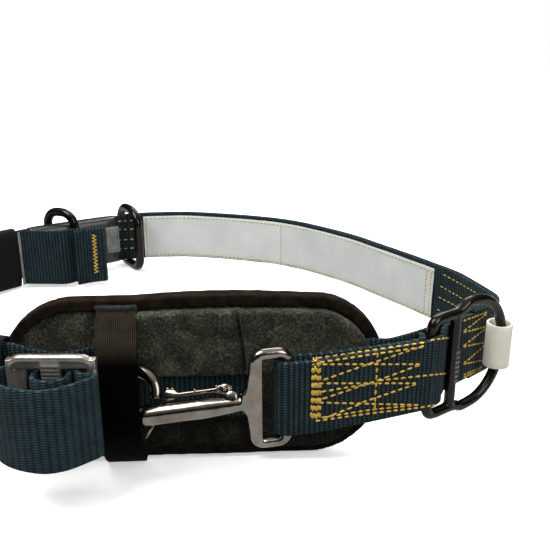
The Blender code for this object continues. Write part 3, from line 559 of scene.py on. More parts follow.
def node_copy(node, name):
    """A new object with a merged copy of a CAD node's mesh."""
    bm = bmesh.new()
    bm.from_mesh(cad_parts[node].data)
    bmesh.ops.remove_doubles(bm, verts=bm.verts, dist=0.00002)
    bmesh.ops.recalc_face_normals(bm, faces=bm.faces)
    return new_piece(name, bm)


def camera_ray(u, v):
    """Where the photograph's camera stands, and its direction through a pixel of the photograph."""
    middle = PHOTO_SIZE / 2
    right = (u - middle) / FOCAL_PIXELS
    up = (middle - v) / FOCAL_PIXELS
    ahead = Vector((0.0, cos(CAMERA_TILT), -sin(CAMERA_TILT)))
    above = Vector((0.0, sin(CAMERA_TILT), cos(CAMERA_TILT)))
    return CAMERA_PLACE, (ahead + above * up + Vector((right, 0, 0))).normalized()


def ray_pins(trees, start, end, steps):
    """The nearest points and normals that the camera sees along a line from one pixel to another."""
    pins = []
    for k in range(steps + 1):
        t = k / steps
        origin, ray = camera_ray(start[0] + (end[0] - start[0]) * t, start[1] + (end[1] - start[1]) * t)
        hits = [hit for hit in (tree.ray_cast(origin, ray) for tree in trees) if hit[0] is not None]
        if hits:
            pins.append(min(hits, key=lambda hit: hit[3])[:2])
    return pins


def tree_of(piece):
    """A piece's faces, for rays."""
    return BVHTree.FromObject(piece, bpy.context.evaluated_depsgraph_get())


def sewn_dashes(name, pieces, seams, pitch, gap, radius, material="thread"):
    """Stitches as short raised dashes, along seams given by the pixels that they run between."""
    trees = [tree_of(bpy.data.objects[piece]) for piece in pieces]
    bm = bmesh.new()
    for seam in seams:
        for start, end in zip(seam, seam[1:]):
            steps = max(2, int(Vector((end[0] - start[0], end[1] - start[1])).length * 2))
            pins = ray_pins(trees, start, end, steps)
            if len(pins) < 2:
                raise RuntimeError(f"{name}: a seam at {start} misses its strap")
            lay_dashes(bm, pins, pitch, gap, radius, 0.0002)
    return settle(new_piece(name, bm), material)


def lay_dashes(bm, pins, pitch, gap, radius, lift):
    """Dashes of thread along pinned points and normals."""
    travel = [0.0]
    for one, two in zip(pins, pins[1:]):
        travel.append(travel[-1] + (two[0] - one[0]).length)
    count = max(1, round(travel[-1] / pitch))
    for k in range(count):
        low = travel[-1] * k / count
        ends = []
        for reach in (low, low + (travel[-1] / count) - gap):
            passed = next((i for i, t in enumerate(travel) if t > reach), len(travel))
            j = max(0, min(len(travel) - 2, passed - 1))
            share = (reach - travel[j]) / max(1e-9, travel[j + 1] - travel[j])
            ends.append((pins[j][0].lerp(pins[j + 1][0], share), pins[j][1]))
        (start, normal), (end, last) = ends
        stitch(bm, start + normal * lift, end + last * lift, normal, radius)


def stitch(bm, start, end, normal, radius):
    """One stitch of thread: a long bead from one point to the other, sunk at its ends."""
    run = end - start
    length = max(run.length, radius * 2)
    x = run.normalized()
    side = normal.cross(x).normalized()
    turn = Matrix((x, side, x.cross(side))).transposed().to_4x4()
    size = Matrix.Diagonal((length / 2, radius, radius * 0.8, 1.0))
    place = Matrix.Translation((start + end) / 2) @ turn @ size @ Matrix.Rotation(pi / 2, 4, "Y")
    bmesh.ops.create_uvsphere(bm, u_segments=6, v_segments=4, radius=1.0, matrix=place)


def line_pins(line, height, face):
    """Pins along a strap's line at a height over its middle, on the side of it that the offset gives."""
    lift = Vector((0, 0, height))
    return [(side + lift, (side - point).normalized()) for side, point in zip(beside(line, face), line)]


def length(label, about, default):
    """A setting in metres."""
    return FloatProperty(name=label, description=about, default=default, unit="LENGTH")


class BeltLooks(bpy.types.PropertyGroup):
    """Colours and sizes that a user would change."""
    # the webbing's colours, which the rib height spreads from dark valleys to light crests as painted shade
    # and light
    navy_low: StringProperty(name="Webbing valley", description="Colour between the ribs", default="#14252A")
    navy_high: StringProperty(name="Webbing rib", description="Colour on the ribs", default="#3D575E")
    thread_radius: length("Thread", "Radius of the golden thread", 0.00078)
    stitch_pitch: length("Stitch pitch", "Distance between two stitches", 0.0050)
    felt_swell: length("Felt swell", "How far the felt rises between its seams", 0.0016)
    pad_voxel: length("Pad detail", "Size of the pad's mesh faces", 0.0014)
    light: FloatProperty(name="Light", description="Power of the key light in watts", default=14.0, min=0.0)
    sky: FloatProperty(name="Sky", description="Strength of the soft light from above", default=0.8, min=0.0)


# Lamps: name, place, size in metres and share of the light's power
LAMPS = (
    ("key", (-0.45, -0.35, 1.15), 0.7, 1.0),
    ("fill", (0.8, -0.8, 0.7), 0.6, 0.35),
    ("back", (0.2, 0.9, 0.9), 0.8, 0.6),
)
LIT_SPOT = Vector((0, 0, 0.05))


def looks():
    """The scene's settings for the belt."""
    return bpy.context.scene.belt_looks


class BELT_OT_materials(bpy.types.Operator):
    """Makes every finish of the belt"""
    bl_idname = "belt.materials"
    bl_label = "Finishes"

    def execute(self, context):
        make_materials(looks())
        return {"FINISHED"}


class BELT_OT_straps(bpy.types.Operator):
    """Makes the belt's lengths of webbing"""
    bl_idname = "belt.straps"
    bl_label = "Webbing"

    def execute(self, context):
        line, at = belt_line()
        # the doubled webbing ends three points beyond keeper ring B
        end = at["ring_b"] + 3
        far = stretch(line, at["d_opening"], end)
        for name, node, path, wave in (
            ("far_inner_webbing", "far_strap_inner", far, 0.0006),
            ("far_outer_webbing", "far_strap_outer", beside(far, -LAYER_STEP), 0.0004),
            ("back_webbing", "back_strap", stretch(line, end, at["sleeve_near"]), 0.0),
            ("near_webbing", "near_strap", stretch(line, at["sleeve_near"], at["d_opening"]), 0.0003),
        ):
            strap = webbing(name, path, WEB_WIDTH, WEB_THICK, wave=wave)
            settle(strap, "webbing", [node])
        return {"FINISHED"}


class BELT_OT_stage(bpy.types.Operator):
    """Makes the table, the lights and the camera"""
    bl_idname = "belt.stage"
    bl_label = "Stage"

    def execute(self, context):
        scene = context.scene
        bm = bmesh.new()
        bmesh.ops.create_grid(bm, x_segments=1, y_segments=1, size=4.0)
        table = new_piece("table", bm)
        table.data.materials.append(MATERIALS["table"])
        world = bpy.data.worlds.new("studio")
        world.use_nodes = True
        tree = world.node_tree
        place = add_node(tree, "ShaderNodeTexCoord").outputs["Generated"]
        height = add_node(tree, "ShaderNodeSeparateXYZ", links={"Vector": place}).outputs["Z"]
        rays = add_node(tree, "ShaderNodeLightPath").outputs
        # what lights the belt, what its metal mirrors and what the camera sees, from the ground up
        shown = ramp(tree, height, ((0.0, "#2A2A2A"), (0.35, "#5C5C5C"), (0.75, "#FFFFFF")))
        for ray, stops in (
            ("Is Glossy Ray", ((0.0, "#161514"), (0.35, "#1F1D1B"), (0.62, "#5A5854"), (0.85, "#D8D6D0"))),
            ("Is Camera Ray", ((0.0, "#FFFFFF"),)),
        ):
            mixed = add_node(tree, "ShaderNodeMix", data_type="RGBA", links={"Factor": rays[ray]})
            tree.links.new(shown, mixed.inputs[6])
            tree.links.new(ramp(tree, height, stops), mixed.inputs[7])
            shown = mixed.outputs[2]
        background = tree.nodes["Background"].inputs
        tree.links.new(shown, background["Color"])
        strength = math_node(tree, "MAXIMUM", rays["Is Camera Ray"], looks().sky)
        tree.links.new(strength, background["Strength"])
        scene.world = world
        for name, place, size, share in LAMPS:
            lamp = bpy.data.lights.new(name, "AREA")
            lamp.size = size
            lamp.energy = looks().light * share
            thing = new_object(name, lamp)
            thing.location = place
            thing.rotation_euler = (LIT_SPOT - Vector(place)).to_track_quat("-Z", "Y").to_euler()
        camera = bpy.data.cameras.new("photograph_view")
        camera.sensor_fit = "HORIZONTAL"
        camera.sensor_width = SENSOR * MM
        camera.lens = FOCAL_PIXELS / PHOTO_SIZE * SENSOR * MM
        camera.clip_start = 0.01
        thing = new_object("photograph_view", camera)
        thing.location = CAMERA_PLACE
        thing.rotation_euler = (pi / 2 - CAMERA_TILT, 0.0, 0.0)
        scene.camera = thing
        scene.view_settings.view_transform = "Standard"
        return {"FINISHED"}


# Satin panel: how much lower than the webbing it is, and how far its seams lie from the webbing's edges
LABEL_INSET = 0.0045
LABEL_WIDTH = WEB_WIDTH - LABEL_INSET

# D-ring, as the CAD solids have it
RING_WIRE = 0.0036
D_CENTRE = Vector((0.1790, -0.1366, 0.0570)) + STAND_SHIFT
D_TURN = radians(36.0)
D_SLOT = 0.0225
D_SLOT_HALF = 0.0335
D_ARC_HALF = 0.0375
D_ARC_RISE = 0.0010
D_BAR = 0.0036
D_ARC_ALONG = 0.0120
D_DEPTH = 0.0520
# The ribs on its middle bar, and the plastic sleeve on its bow
BAR_RIBS = 7
BAR_RIB_STEP = 0.0034
D_SLEEVE_OUTER = 0.0088
D_SLEEVE_SHIFT = -0.0030
D_SLEEVE_LENGTH = 0.031

# Pad and elastic loop
PAD_CENTRE = Vector((0.015, -0.1627, 0.0)) + STAND_SHIFT
PAD_TURN = radians(3.51)
PAD_LIFT = 0.0024
PAD_CORE_FACE = 0.0030
PAD_CORE_THICK = 0.0070
BINDING_WALL = 0.0011
# The pad's bend: where it begins and its height, its rise, its middle and half length, and its lean
WARP_FOOT = 0.070
WARP_HEIGHT = 0.040
WARP_RISE = 0.0022
WARP_MIDDLE = 0.020
WARP_HALF = 0.055
WARP_LEAN = 0.0012
# The fold down the cover and the lip beside it: depth, width, and the lip's distance in pixels
FOLD_DEPTH, FOLD_WIDTH = 0.0038, 0.0020
LIP_DEPTH, LIP_WIDTH, LIP_STEP = -0.0022, 0.0034, 5.0
# The elastic loop: its bulge to the right, the stitches of its tack, its place, width and thickness
LOOP_BULGE = 0.0016
LOOP_STITCHES = 26
LOOP_X = -0.0298
LOOP_WIDTH = 0.0245
LOOP_THICK = 0.0016
GAP = 0.0004

# Hook, with its nose 1 mm longer than in the CAD. The arm's share of its radius goes by the reach from
# its nose, and the plate's corners by their place along the frame and their height
HOOK_FRAME_RIGHT = Vector((0.0710, -0.1838, 0.0570)) + STAND_SHIFT
HOOK_FRAME_LEFT = Vector((0.0525, -0.1880, 0.0570)) + STAND_SHIFT
HOOK_FRAME_HALF = 0.0290
# The hook strap: how much higher than the near strap it runs, and where its wrap round the frame begins
HOOK_STRAP_RISE = 0.0015
HOOK_WRAP_TURN = radians(20.5)
HOOK_BAR = 0.0036
HOOK_SPINE = 0.0044
HOOK_ARM = 0.0063
HOOK_NOSE_X = -0.0178 + STAND_SHIFT.x
HOOK_SHARES = (
    (0.0, 0.45), (0.0006, 0.66), (0.0016, 0.82), (0.0030, 0.95), (0.0055, 1.0), (0.0250, 0.97), (0.0400, 1.0),
    (0.0500, 0.88), (0.0560, 0.80), (0.0610, 0.70), (0.0656, 0.56),
)
HOOK_PLATE = (
    (0.0040, -0.0250), (0.0040, 0.0250), (-0.0030, 0.0262), (-0.0052, 0.0090), (-0.0082, 0.0046),
    (-0.0082, -0.0046), (-0.0052, -0.0090), (-0.0030, -0.0262),
)
HOOK_PLATE_HALF = 0.0031
HOOK_TILT = radians(56.0)
HOOK_BOWL_X = -0.0192 + STAND_SHIFT.x
HOOK_BOWL_RADIUS = 0.0138
HOOK_BOWL_DROP = 0.0105
HOOK_TIP_ANGLE = radians(-20.0)
GATE_LEVEL = 0.0092
GATE_PIN_X = 0.0360 + STAND_SHIFT.x
# The studs on the gate, along the arm and over the gate's level
GATE_STUDS = ((0.0180, 0.0016), (0.0310, 0.0022), (0.0020, 0.0044), (0.0050, 0.0040))
SPRING_LEG = ((-0.0070, -0.1895, 0.0425), (-0.0125, -0.1900, 0.0329))

# Slide
SLIDE_CENTRE = Vector((-0.0600, -0.2025, 0.0605)) + STAND_SHIFT
SLIDE_LENGTH = 0.0510
SLIDE_HALF = 0.0300
SLIDE_WIRE = 0.0030
INNER_LOOP_WIDTH = 0.0475

# Keeper rings, with a wire 1 mm thicker than in the CAD, sleeves and tail
LINK_WIRE = 0.0045
LEATHER_THICK = 0.0180
LEATHER_HEIGHT = 0.0508
# The patch is lower than in the CAD, as the photo shows it, and sits a little over the strap's middle
PATCH_HEIGHT = 0.0285
PATCH_THICK = 0.0012
PATCH_RISE = 0.0022
SLEEVE_THICK = 0.0140
SLEEVE_HEIGHT = 0.0615
SLEEVE_DROP = 0.0022
SLEEVE_WALL = 0.0012
TAIL_WIDTH = 0.0565
TAIL_HEIGHT = 0.0330 + STAND_SHIFT.z
TAIL_FOLD = 0.0017
TAIL_FLAP = 0.0270
TAIL_FLAP_RISE = 0.0066
TAIL_ROUTE = (
    (-0.1928, 0.1460),
    (-0.1860, 0.1468),
    (-0.1640, 0.1464),
    (-0.1490, 0.1464),
    (-0.1405, 0.1532),
    (-0.1340, 0.1540),
    (-0.1120, 0.1590),
)
# Near and far point in plan, height of the top, and radius of the upper and the lower corners
RING_B = (Vector((-0.0812, 0.1940, 0)), Vector((-0.1060, 0.2300, 0)), 0.0710, 0.0165, 0.0120)
RING_A = (Vector((-0.1426, 0.1728, 0)), Vector((-0.1738, 0.1866, 0)), 0.0760, 0.0140, 0.0060)

# Seams by the pixels of the photograph that they run through
BOX_SEAMS = (
    ((312.4, 361.0), (312.2, 390.0), (310.8, 419.5)),
    ((313.5, 357.5), (313.5, 390.0), (312.0, 421.0)),
    ((315.0, 359.5), (315.3, 390.0), (314.0, 420.0)),
    ((318.3, 361.8), (318.6, 390.0), (317.8, 419.0)),
    ((316.5, 357.0), (317.0, 390.0), (316.0, 421.5)),
    ((319.8, 360.5), (320.3, 390.0), (319.5, 420.0)),
    ((377.5, 352.5), (376.0, 382.0), (374.2, 411.7)),
    ((316.7, 358.3), (372.0, 350.6), (426.7, 342.5)),
    ((319.2, 362.5), (372.0, 354.4), (425.0, 346.7)),
    ((430.0, 340.8), (449.0, 337.5)),
    ((321.7, 364.2), (421.7, 364.2)),
    ((323.0, 380.0), (361.0, 366.5), (426.0, 345.0)),
    ((318.0, 383.3), (418.0, 383.3)),
    ((378.0, 380.5), (446.7, 373.3)),
    ((321.7, 399.0), (376.0, 381.0), (421.7, 364.0)),
    ((321.0, 391.7), (371.7, 383.3)),
    ((318.0, 402.5), (420.0, 405.0)),
    ((361.7, 402.5), (418.0, 383.3)),
    ((323.3, 418.5), (361.7, 403.3)),
    ((315.0, 421.0), (372.0, 413.0), (420.0, 407.5), (448.0, 402.8)),
    ((321.0, 417.5), (372.0, 409.5), (420.0, 404.6)),
)
OPENING_SEAMS = (
    ((463.0, 321.0), (487.0, 312.0)),
    ((463.0, 332.5), (485.0, 326.7)),
    ((463.0, 331.5), (486.5, 313.5)),
    ((463.0, 346.7), (483.3, 342.5)),
    ((463.0, 346.0), (485.0, 328.5)),
    ((463.0, 364.2), (483.3, 360.0)),
    ((463.0, 364.0), (484.5, 345.0)),
    ((463.0, 375.0), (481.7, 366.7)),
    ((463.0, 377.5), (481.0, 369.5)),
)
FAR_SEAMS = (
    ((443.5, 274.5), (460.0, 283.5), (476.7, 293.3)),
    ((440.5, 286.0), (463.3, 299.2)),
    ((438.8, 297.0), (459.0, 307.5)),
    ((437.0, 309.2), (441.5, 311.5)),
)
RING_SEAMS = (
    ((117.5, 221.5), (136.5, 220.5)),
    ((117.5, 229.8), (136.5, 229.0)),
    ((117.5, 240.3), (136.5, 239.0)),
    ((117.5, 248.9), (136.5, 247.8)),
    ((117.5, 260.3), (136.5, 258.3)),
)
PATCH_SEAMS = (
    ((117.3, 229.5), (118.0, 249.5)),
    ((109.5, 251.2), (117.6, 249.8)),
)
FLAP_FOLD = ((237.5, 309.0), (240.5, 330.0), (244.5, 352.0), (246.0, 371.0))
TACK_TOP = (93.8, 234.5)
TACK_FOOT = (96.5, 273.0)
TACK_REACH = 2.3
TACK_TEETH = 22


def d_point(along, front, height=0.0):
    """A point of the D-ring's frame: along its plane, in front of it and above its middle."""
    return D_CENTRE + Vector((
        along * cos(D_TURN) + front * sin(D_TURN),
        along * sin(D_TURN) - front * cos(D_TURN),
        height,
    ))


def bend(centre, radius, start, end, pieces, height):
    """Points on an upright bend round a centre, seen from above."""
    turn = (end - start) / pieces
    return [
        Vector((centre.x + radius * cos(start + k * turn), centre.y + radius * sin(start + k * turn), height))
        for k in range(pieces + 1)
    ]


def rounded_frame(half_length, half_height, high_radius, low_radius, centre, pieces=8):
    """Rectangle in the XZ plane with its upper and lower corners rounded, as a closed list of points."""
    points = []
    for k, (sx, sz) in enumerate(((1, 1), (-1, 1), (-1, -1), (1, -1))):
        radius = high_radius if sz > 0 else low_radius
        for j in range(pieces + 1):
            angle = (k + j / pieces) * pi / 2
            points.append(
                Vector((
                    centre.x + sx * (half_length - radius) + radius * cos(angle),
                    centre.y,
                    centre.z + sz * (half_height - radius) + radius * sin(angle),
                ))
            )
    return points


def d_outline():
    """The D-ring's wire: its slot, and the bow that rises a little above it, as a closed list of points."""
    reach = D_DEPTH - D_ARC_ALONG - RING_WIRE
    half = D_SLOT_HALF
    slot = [
        (0.0, half),
        (-D_SLOT + 0.0085, half),
        (-D_SLOT + 0.0028, half - 0.0016),
        (-D_SLOT + 0.0003, half - 0.0065),
        (-D_SLOT, half - 0.0110),
    ]
    rows = slot + [(along, -height) for along, height in reversed(slot)]
    rows += [(0.0060, -half - 0.0010), (D_ARC_ALONG, D_ARC_RISE - D_ARC_HALF)]
    for angle in (radians(-75 + 15 * k) for k in range(11)):
        rows.append((D_ARC_ALONG + reach * cos(angle) ** 0.8, D_ARC_RISE + D_ARC_HALF * sin(angle)))
    rows += [(D_ARC_ALONG, D_ARC_RISE + D_ARC_HALF), (0.0060, half + 0.0022)]
    return [d_point(along, 0.0, height) for along, height in rows]


def hook_strap_line():
    """The heavy webbing's middle: lap, wrap, front run, D-ring and its join to the far strap."""
    reach = RING_WIRE + GAP + HOOK_WEB_THICK / 2
    wrap = HOOK_BAR + GAP + HOOK_WEB_THICK / 2
    height = NEAR_HEIGHT + HOOK_STRAP_RISE + STAND_SHIFT.z
    start = -pi / 2 + HOOK_WRAP_TURN
    points = [d_point(-D_SLOT - 0.0020, -reach), d_point(-0.0365, 0.0)]
    points.append(HOOK_FRAME_RIGHT + Vector((0.0230, 0.0085, 0)))
    points += bend(HOOK_FRAME_RIGHT, wrap, start + pi, start + tau, 10, height)
    points.append(HOOK_FRAME_RIGHT + Vector((0.0230, 0.0, 0)))
    over = (
        (-0.0350, 0.0046),
        (-D_SLOT - 0.0030, reach),
        (-D_SLOT, reach),
        (-D_SLOT * 0.7, 0.0040),
        (-D_SLOT / 2, 0.0),
        (-0.0047, -0.0038),
        (0.0, -reach),
    )
    points += [d_point(along, front) for along, front in over]
    for point in points:
        point.z = height
    line, at = belt_line(0.009)
    outer = beside(stretch(line, at["d_opening"], at["d_opening"] + 4), -LAYER_STEP)
    run = (outer[1] - outer[0]).normalized()
    points += [outer[0] - run * 0.0080 + Vector((0, 0, 0.0005)), outer[0] - run * 0.0005]
    return smooth_line(points, 0.0016)[0]


def add_section(bm, ring, before):
    """Bridges a ring of vertices to the edges of the one before it, and gives its own edges."""
    edges = list({edge for vert in ring for edge in vert.link_edges})
    if before:
        bmesh.ops.bridge_loops(bm, edges=before + edges)
    return edges


def squared(share, power):
    """A share of a circle's reach, pushed out towards a box's corners."""
    return (abs(share) ** (2 / power)) * (1 if share >= 0 else -1)


def sleeve(name, line, half_high, half_thick, power, drop, pinch=0.0):
    """A sleeve round a strap: rounded-box sections joined along its line, then given its wall."""
    bm = bmesh.new()
    weave = bm.verts.layers.float_vector.new("weave")
    lefts = [(b - a).normalized() for a, b in zip(beside(line, 0.0), beside(line, 0.01))]
    before = None
    travel = 0.0
    for k, (point, left) in enumerate(zip(line, lefts)):
        travel += (point - line[k - 1]).length * MM if k else 0.0
        ring = bmesh.ops.create_circle(bm, segments=36, radius=1.0)["verts"]
        end = min(k, len(line) - 1 - k) / 3
        thick = half_thick * (1 - pinch * max(0.0, 1 - end))
        for vert in ring:
            angle = atan2(vert.co.y, vert.co.x)
            side = squared(cos(angle), power) * thick
            rise = squared(sin(angle), power) * half_high
            vert[weave] = (travel, rise * MM + (angle if abs(cos(angle)) < 0.5 else 0.0), 0.0)
            vert.co = point + left * side + Vector((0, 0, rise - drop))
        before = add_section(bm, ring, before)
    bmesh.ops.recalc_face_normals(bm, faces=bm.faces)
    piece = new_piece(name, bm)
    modify(piece, "SOLIDIFY", thickness=SLEEVE_WALL, offset=-1.0)
    return bake_modifiers(piece)


def pad_matrix():
    """Turns the pad's own frame, x along it and y through it, into the belt's."""
    return Matrix.Translation(PAD_CENTRE) @ Matrix.Rotation(PAD_TURN, 4, "Z")


def pad_warp(point):
    """The pad's slow bends: its upper edge rises over the hook and its ends lean a little."""
    own = pad_matrix().inverted() @ point
    high = max(0.0, (own.z - WARP_FOOT) / WARP_HEIGHT)
    own.z += WARP_RISE * high * max(0.0, 1 - ((own.x - WARP_MIDDLE) / WARP_HALF) ** 2)
    own.y += WARP_LEAN * noise.noise(Vector((own.x * 16, own.z * 11, 2.0)))
    return pad_matrix() @ own


def felt_form(name, node, voxel, swell, rounds):
    """A felt piece from its CAD solid: remeshed, softened, then swollen a little where nothing holds it."""
    piece = remeshed(node_copy(node, name), voxel, rounds)
    front = pad_matrix().to_3x3() @ Vector((0, -1, 0))
    with editing(piece) as bm:
        bm.normal_update()
        for vert in bm.verts:
            facing = vert.normal.dot(front)
            lump = noise.noise(vert.co * 24.0) * 0.6 + noise.noise(vert.co * 70.0) * 0.25
            if facing > 0.2:
                vert.co += front * swell * (0.5 + lump)
            vert.co = pad_warp(vert.co)
    return piece


def groove(piece, pins, depth, width):
    """Presses a seam into a piece along pinned points, or raises it where the depth is negative."""
    low = [min(pin[0][k] for pin in pins) - width * 2.5 for k in range(3)]
    high = [max(pin[0][k] for pin in pins) + width * 2.5 for k in range(3)]
    with editing(piece) as bm:
        for vert in bm.verts:
            if all(a < place < b for a, place, b in zip(low, vert.co, high)):
                near = min((vert.co - pin[0]).length for pin in pins)
                vert.co -= pins[-1][1] * depth * exp(-((near / width) ** 2))


def pinned(piece, seam):
    """Points and normals of a piece along a seam given in the photograph's pixels."""
    trees = [tree_of(piece)]
    return [pin for start, end in zip(seam, seam[1:]) for pin in ray_pins(trees, start, end, 40)]


class BELT_OT_hook_strap(bpy.types.Operator):
    """Makes the heavy webbing between the hook and the D-ring"""
    bl_idname = "belt.hook_strap"
    bl_label = "Hook strap"

    def execute(self, context):
        line = hook_strap_line()
        strap = webbing("hook_webbing", line, HOOK_WEB_WIDTH, HOOK_WEB_THICK, rows=8)
        settle(strap, "webbing", ["hook_strap"])
        return {"FINISHED"}


class BELT_OT_label(bpy.types.Operator):
    """Makes the satin panel on the inner face of the far strap, left bare"""
    bl_idname = "belt.label"
    bl_label = "Satin panel"

    def execute(self, context):
        coarse, at = belt_line(0.009)
        run = stretch(coarse, at["label_right"] - 1, at["label_left"] + 2)
        path = [point - Vector((0, 0, 0.0010)) for point in beside(run, LAYER_STEP / 2 + 0.0008)]
        path = smooth_line(path, 0.003)[0][:-1]
        panel = webbing("satin_panel", path, LABEL_WIDTH, 0.0006, wave=0.0007, rows=8)
        settle(panel, "satin", ["label_panel"])
        half = WEB_WIDTH / 2 - LABEL_INSET
        face = 0.0005
        bm = bmesh.new()
        radius = looks().thread_radius * 0.6
        for height in (half, -half):
            lay_dashes(bm, line_pins(path, height, face), 0.0046, 0.0018, radius, 0.0001)
        # seams across: two at one end, one in the middle and one at the other end
        for reach in (0.002, 0.006, length_of(path) * 0.56, length_of(path) - 0.0025):
            walk = 0.0
            k = 0
            while k < len(path) - 2 and walk < reach:
                walk += (path[k + 1] - path[k]).length
                k += 1
            base, normal = line_pins(path[k - 1:k + 2], 0.0, face)[1]
            pins = [(base + Vector((0, 0, half * (2 * j / 8 - 1))), normal) for j in range(9)]
            lay_dashes(bm, pins, 0.0034, 0.0010, radius, 0.0001)
        settle(new_piece("panel_stitches", bm), "thread")
        return {"FINISHED"}


class BELT_OT_sleeves(bpy.types.Operator):
    """Makes the leather sleeve, its patch, the black sleeve and the free tail"""
    bl_idname = "belt.sleeves"
    bl_label = "Sleeves and tail"

    def execute(self, context):
        line, at = belt_line(0.004)
        hide = stretch(line, at["leather_right"], at["leather_left"])
        hull = sleeve("leather_tube", hide, LEATHER_HEIGHT / 2, LEATHER_THICK / 2, 4.5, -0.0002, pinch=0.35)
        settle(hull, "leather", ["leather_front", "leather_back"])
        coarse, mark = belt_line(0.009)
        patch = stretch(coarse, mark["leather_right"], mark["leather_right"] + 2)
        patch = beside(patch, LEATHER_THICK / 2 + GAP + PATCH_THICK / 2)
        patch = [point + Vector((0, 0, PATCH_RISE)) for point in patch]
        cover = webbing("leather_end_patch", smooth_line(patch, 0.003)[0], PATCH_HEIGHT, PATCH_THICK)
        settle(cover, "patch", ["leather_patch"])
        turn = stretch(line, at["sleeve_far"], at["sleeve_near"])
        cuff = sleeve("turn_sleeve_cloth", turn, SLEEVE_HEIGHT / 2, SLEEVE_THICK / 2, 3.2, SLEEVE_DROP)
        settle(cuff, "sleeve", ["turn_sleeve"])
        shift = STAND_SHIFT.xy
        run = [Vector((x + shift.x, y + shift.y, TAIL_HEIGHT)) for x, y in TAIL_ROUTE]
        ahead = (run[-1] - run[-2]).normalized()
        front = Vector((ahead.y, -ahead.x, 0.0))
        hinge = run[-1] + front * TAIL_FOLD
        fold = [hinge + (ahead * sin(k * pi / 8) - front * cos(k * pi / 8)) * TAIL_FOLD for k in range(1, 9)]
        shares = [k / 9 for k in range(1, 10)]
        flap = [fold[-1] - ahead * TAIL_FLAP * t + front * TAIL_FLAP_RISE * t * t for t in shares]
        path = smooth_line(run, 0.003)[0] + fold + flap
        tail = webbing("tail_webbing", path, TAIL_WIDTH, WEB_THICK, wave=0.0004)
        settle(tail, "webbing", ["strap_tail"])
        # the narrow grey tape at the tail's left end, 0.6 mm in front of it
        edge = beside([point - Vector((0, 0, 0.0006)) for point in path[:2]], -WEB_THICK / 2 - 0.0006)
        settle(webbing("tail_edge_tape", edge, TAIL_WIDTH - 0.0012, 0.0007), "patch")
        return {"FINISHED"}


class BELT_OT_pad(bpy.types.Operator):
    """Makes the felt pad, its cover over the strap and its bound edge"""
    bl_idname = "belt.pad"
    bl_label = "Pad"

    def execute(self, context):
        voxel = looks().pad_voxel
        core = felt_form("pad_felt", "pad_core", voxel, looks().felt_swell * 0.5, 5)
        settle(core, "felt", ["pad_core"])
        cover = felt_form("pad_cover_felt", "pad_cover", voxel * 0.8, looks().felt_swell, 5)
        groove(cover, pinned(cover, FLAP_FOLD), FOLD_DEPTH, FOLD_WIDTH)
        groove(cover, pinned(cover, [(u + LIP_STEP, v) for u, v in FLAP_FOLD]), LIP_DEPTH, LIP_WIDTH)
        settle(cover, "felt", ["pad_cover"])
        binding = felt_form("pad_edge_tape", "pad_binding", voxel * 0.65, 0.0006, 3)
        settle(binding, "binding", ["pad_binding"])
        return {"FINISHED"}


class BELT_OT_elastic(bpy.types.Operator):
    """Makes the ribbed elastic band round the pad"""
    bl_idname = "belt.elastic"
    bl_label = "Elastic loop"

    def execute(self, context):
        back = PAD_CORE_FACE + PAD_CORE_THICK + 2 * GAP + BINDING_WALL + LOOP_THICK / 2
        low = PAD_LIFT - GAP - LOOP_THICK / 2
        turn = 0.0009
        # the band's middle, through the pad and up: the back run, the top, the front run and the foot
        rows = (
            (back - turn * 1.3, low),
            (back - turn * 0.3, low + turn * 0.3),
            (back, low + turn * 1.3),
            (back, 0.012),
            (back, 0.034),
            (back, 0.078),
            (back, 0.1020),
            (back - 0.0020, 0.1062),
            (back - 0.0060, 0.1078),
            (PAD_CORE_FACE - 0.0004, 0.1076),
            (PAD_CORE_FACE - 0.0012, 0.1040),
            (-0.0060, 0.0990),
            (-0.0215, 0.0840),
            (-0.0297, 0.0700),
            (-0.0325, 0.0560),
            (-0.0315, 0.0420),
            (-0.0250, 0.0280),
            (-0.0130, 0.0120),
            (-0.0040, low + 0.003),
            (PAD_CORE_FACE - 0.0025, low + 0.0001),
        )
        line, _ = smooth_line([Vector((y, z, 0.0)) for y, z in rows], 0.0030, closed=True)
        band = webbing("elastic_band", line, LOOP_WIDTH, LOOP_THICK, closed=True)
        upright = Matrix(((0, 0, 1, 0), (1, 0, 0, 0), (0, 1, 0, 0), (0, 0, 0, 1)))
        place = Matrix.Translation((LOOP_X + STAND_SHIFT.x - PAD_CENTRE.x, 0, 0))
        for vert in band.data.vertices:
            vert.co.z += LOOP_BULGE * (max(0.0, -vert.co.x - 0.006) / 0.026)
        band.data.transform(pad_matrix() @ place @ upright)
        settle(band, "elastic", ["pad_loop"])
        tack = bmesh.new()
        spot = pad_matrix() @ place
        out = spot.to_3x3() @ Vector((0, -1, 0))
        for k in range(LOOP_STITCHES):
            x = LOOP_WIDTH * ((k + 0.5) / LOOP_STITCHES - 0.5)
            foot = spot @ Vector((x - 0.0004, PAD_CORE_FACE - 0.0040, 0.1048))
            stitch(tack, foot, foot + Vector((0, 0.0004, 0.0030)), out, 0.0005)
        settle(new_piece("elastic_tack", tack), "dark_thread")
        return {"FINISHED"}


def hook_matrix():
    """The hook's own frame: x along the arm to the right, y from the arm to the gate, z out of its plane."""
    origin = Vector((0.0, HOOK_FRAME_LEFT.y - 0.0010, NEAR_HEIGHT + STAND_SHIFT.z))
    drop = atan2(HOOK_BOWL_DROP, HOOK_FRAME_LEFT.x - HOOK_BOWL_X)
    lean = Matrix.Rotation(-drop, 4, "Y")
    pivot = Matrix.Translation((HOOK_FRAME_LEFT.x, 0, 0))
    return Matrix.Translation(origin) @ pivot @ lean @ pivot.inverted() @ Matrix.Rotation(HOOK_TILT, 4, "X")


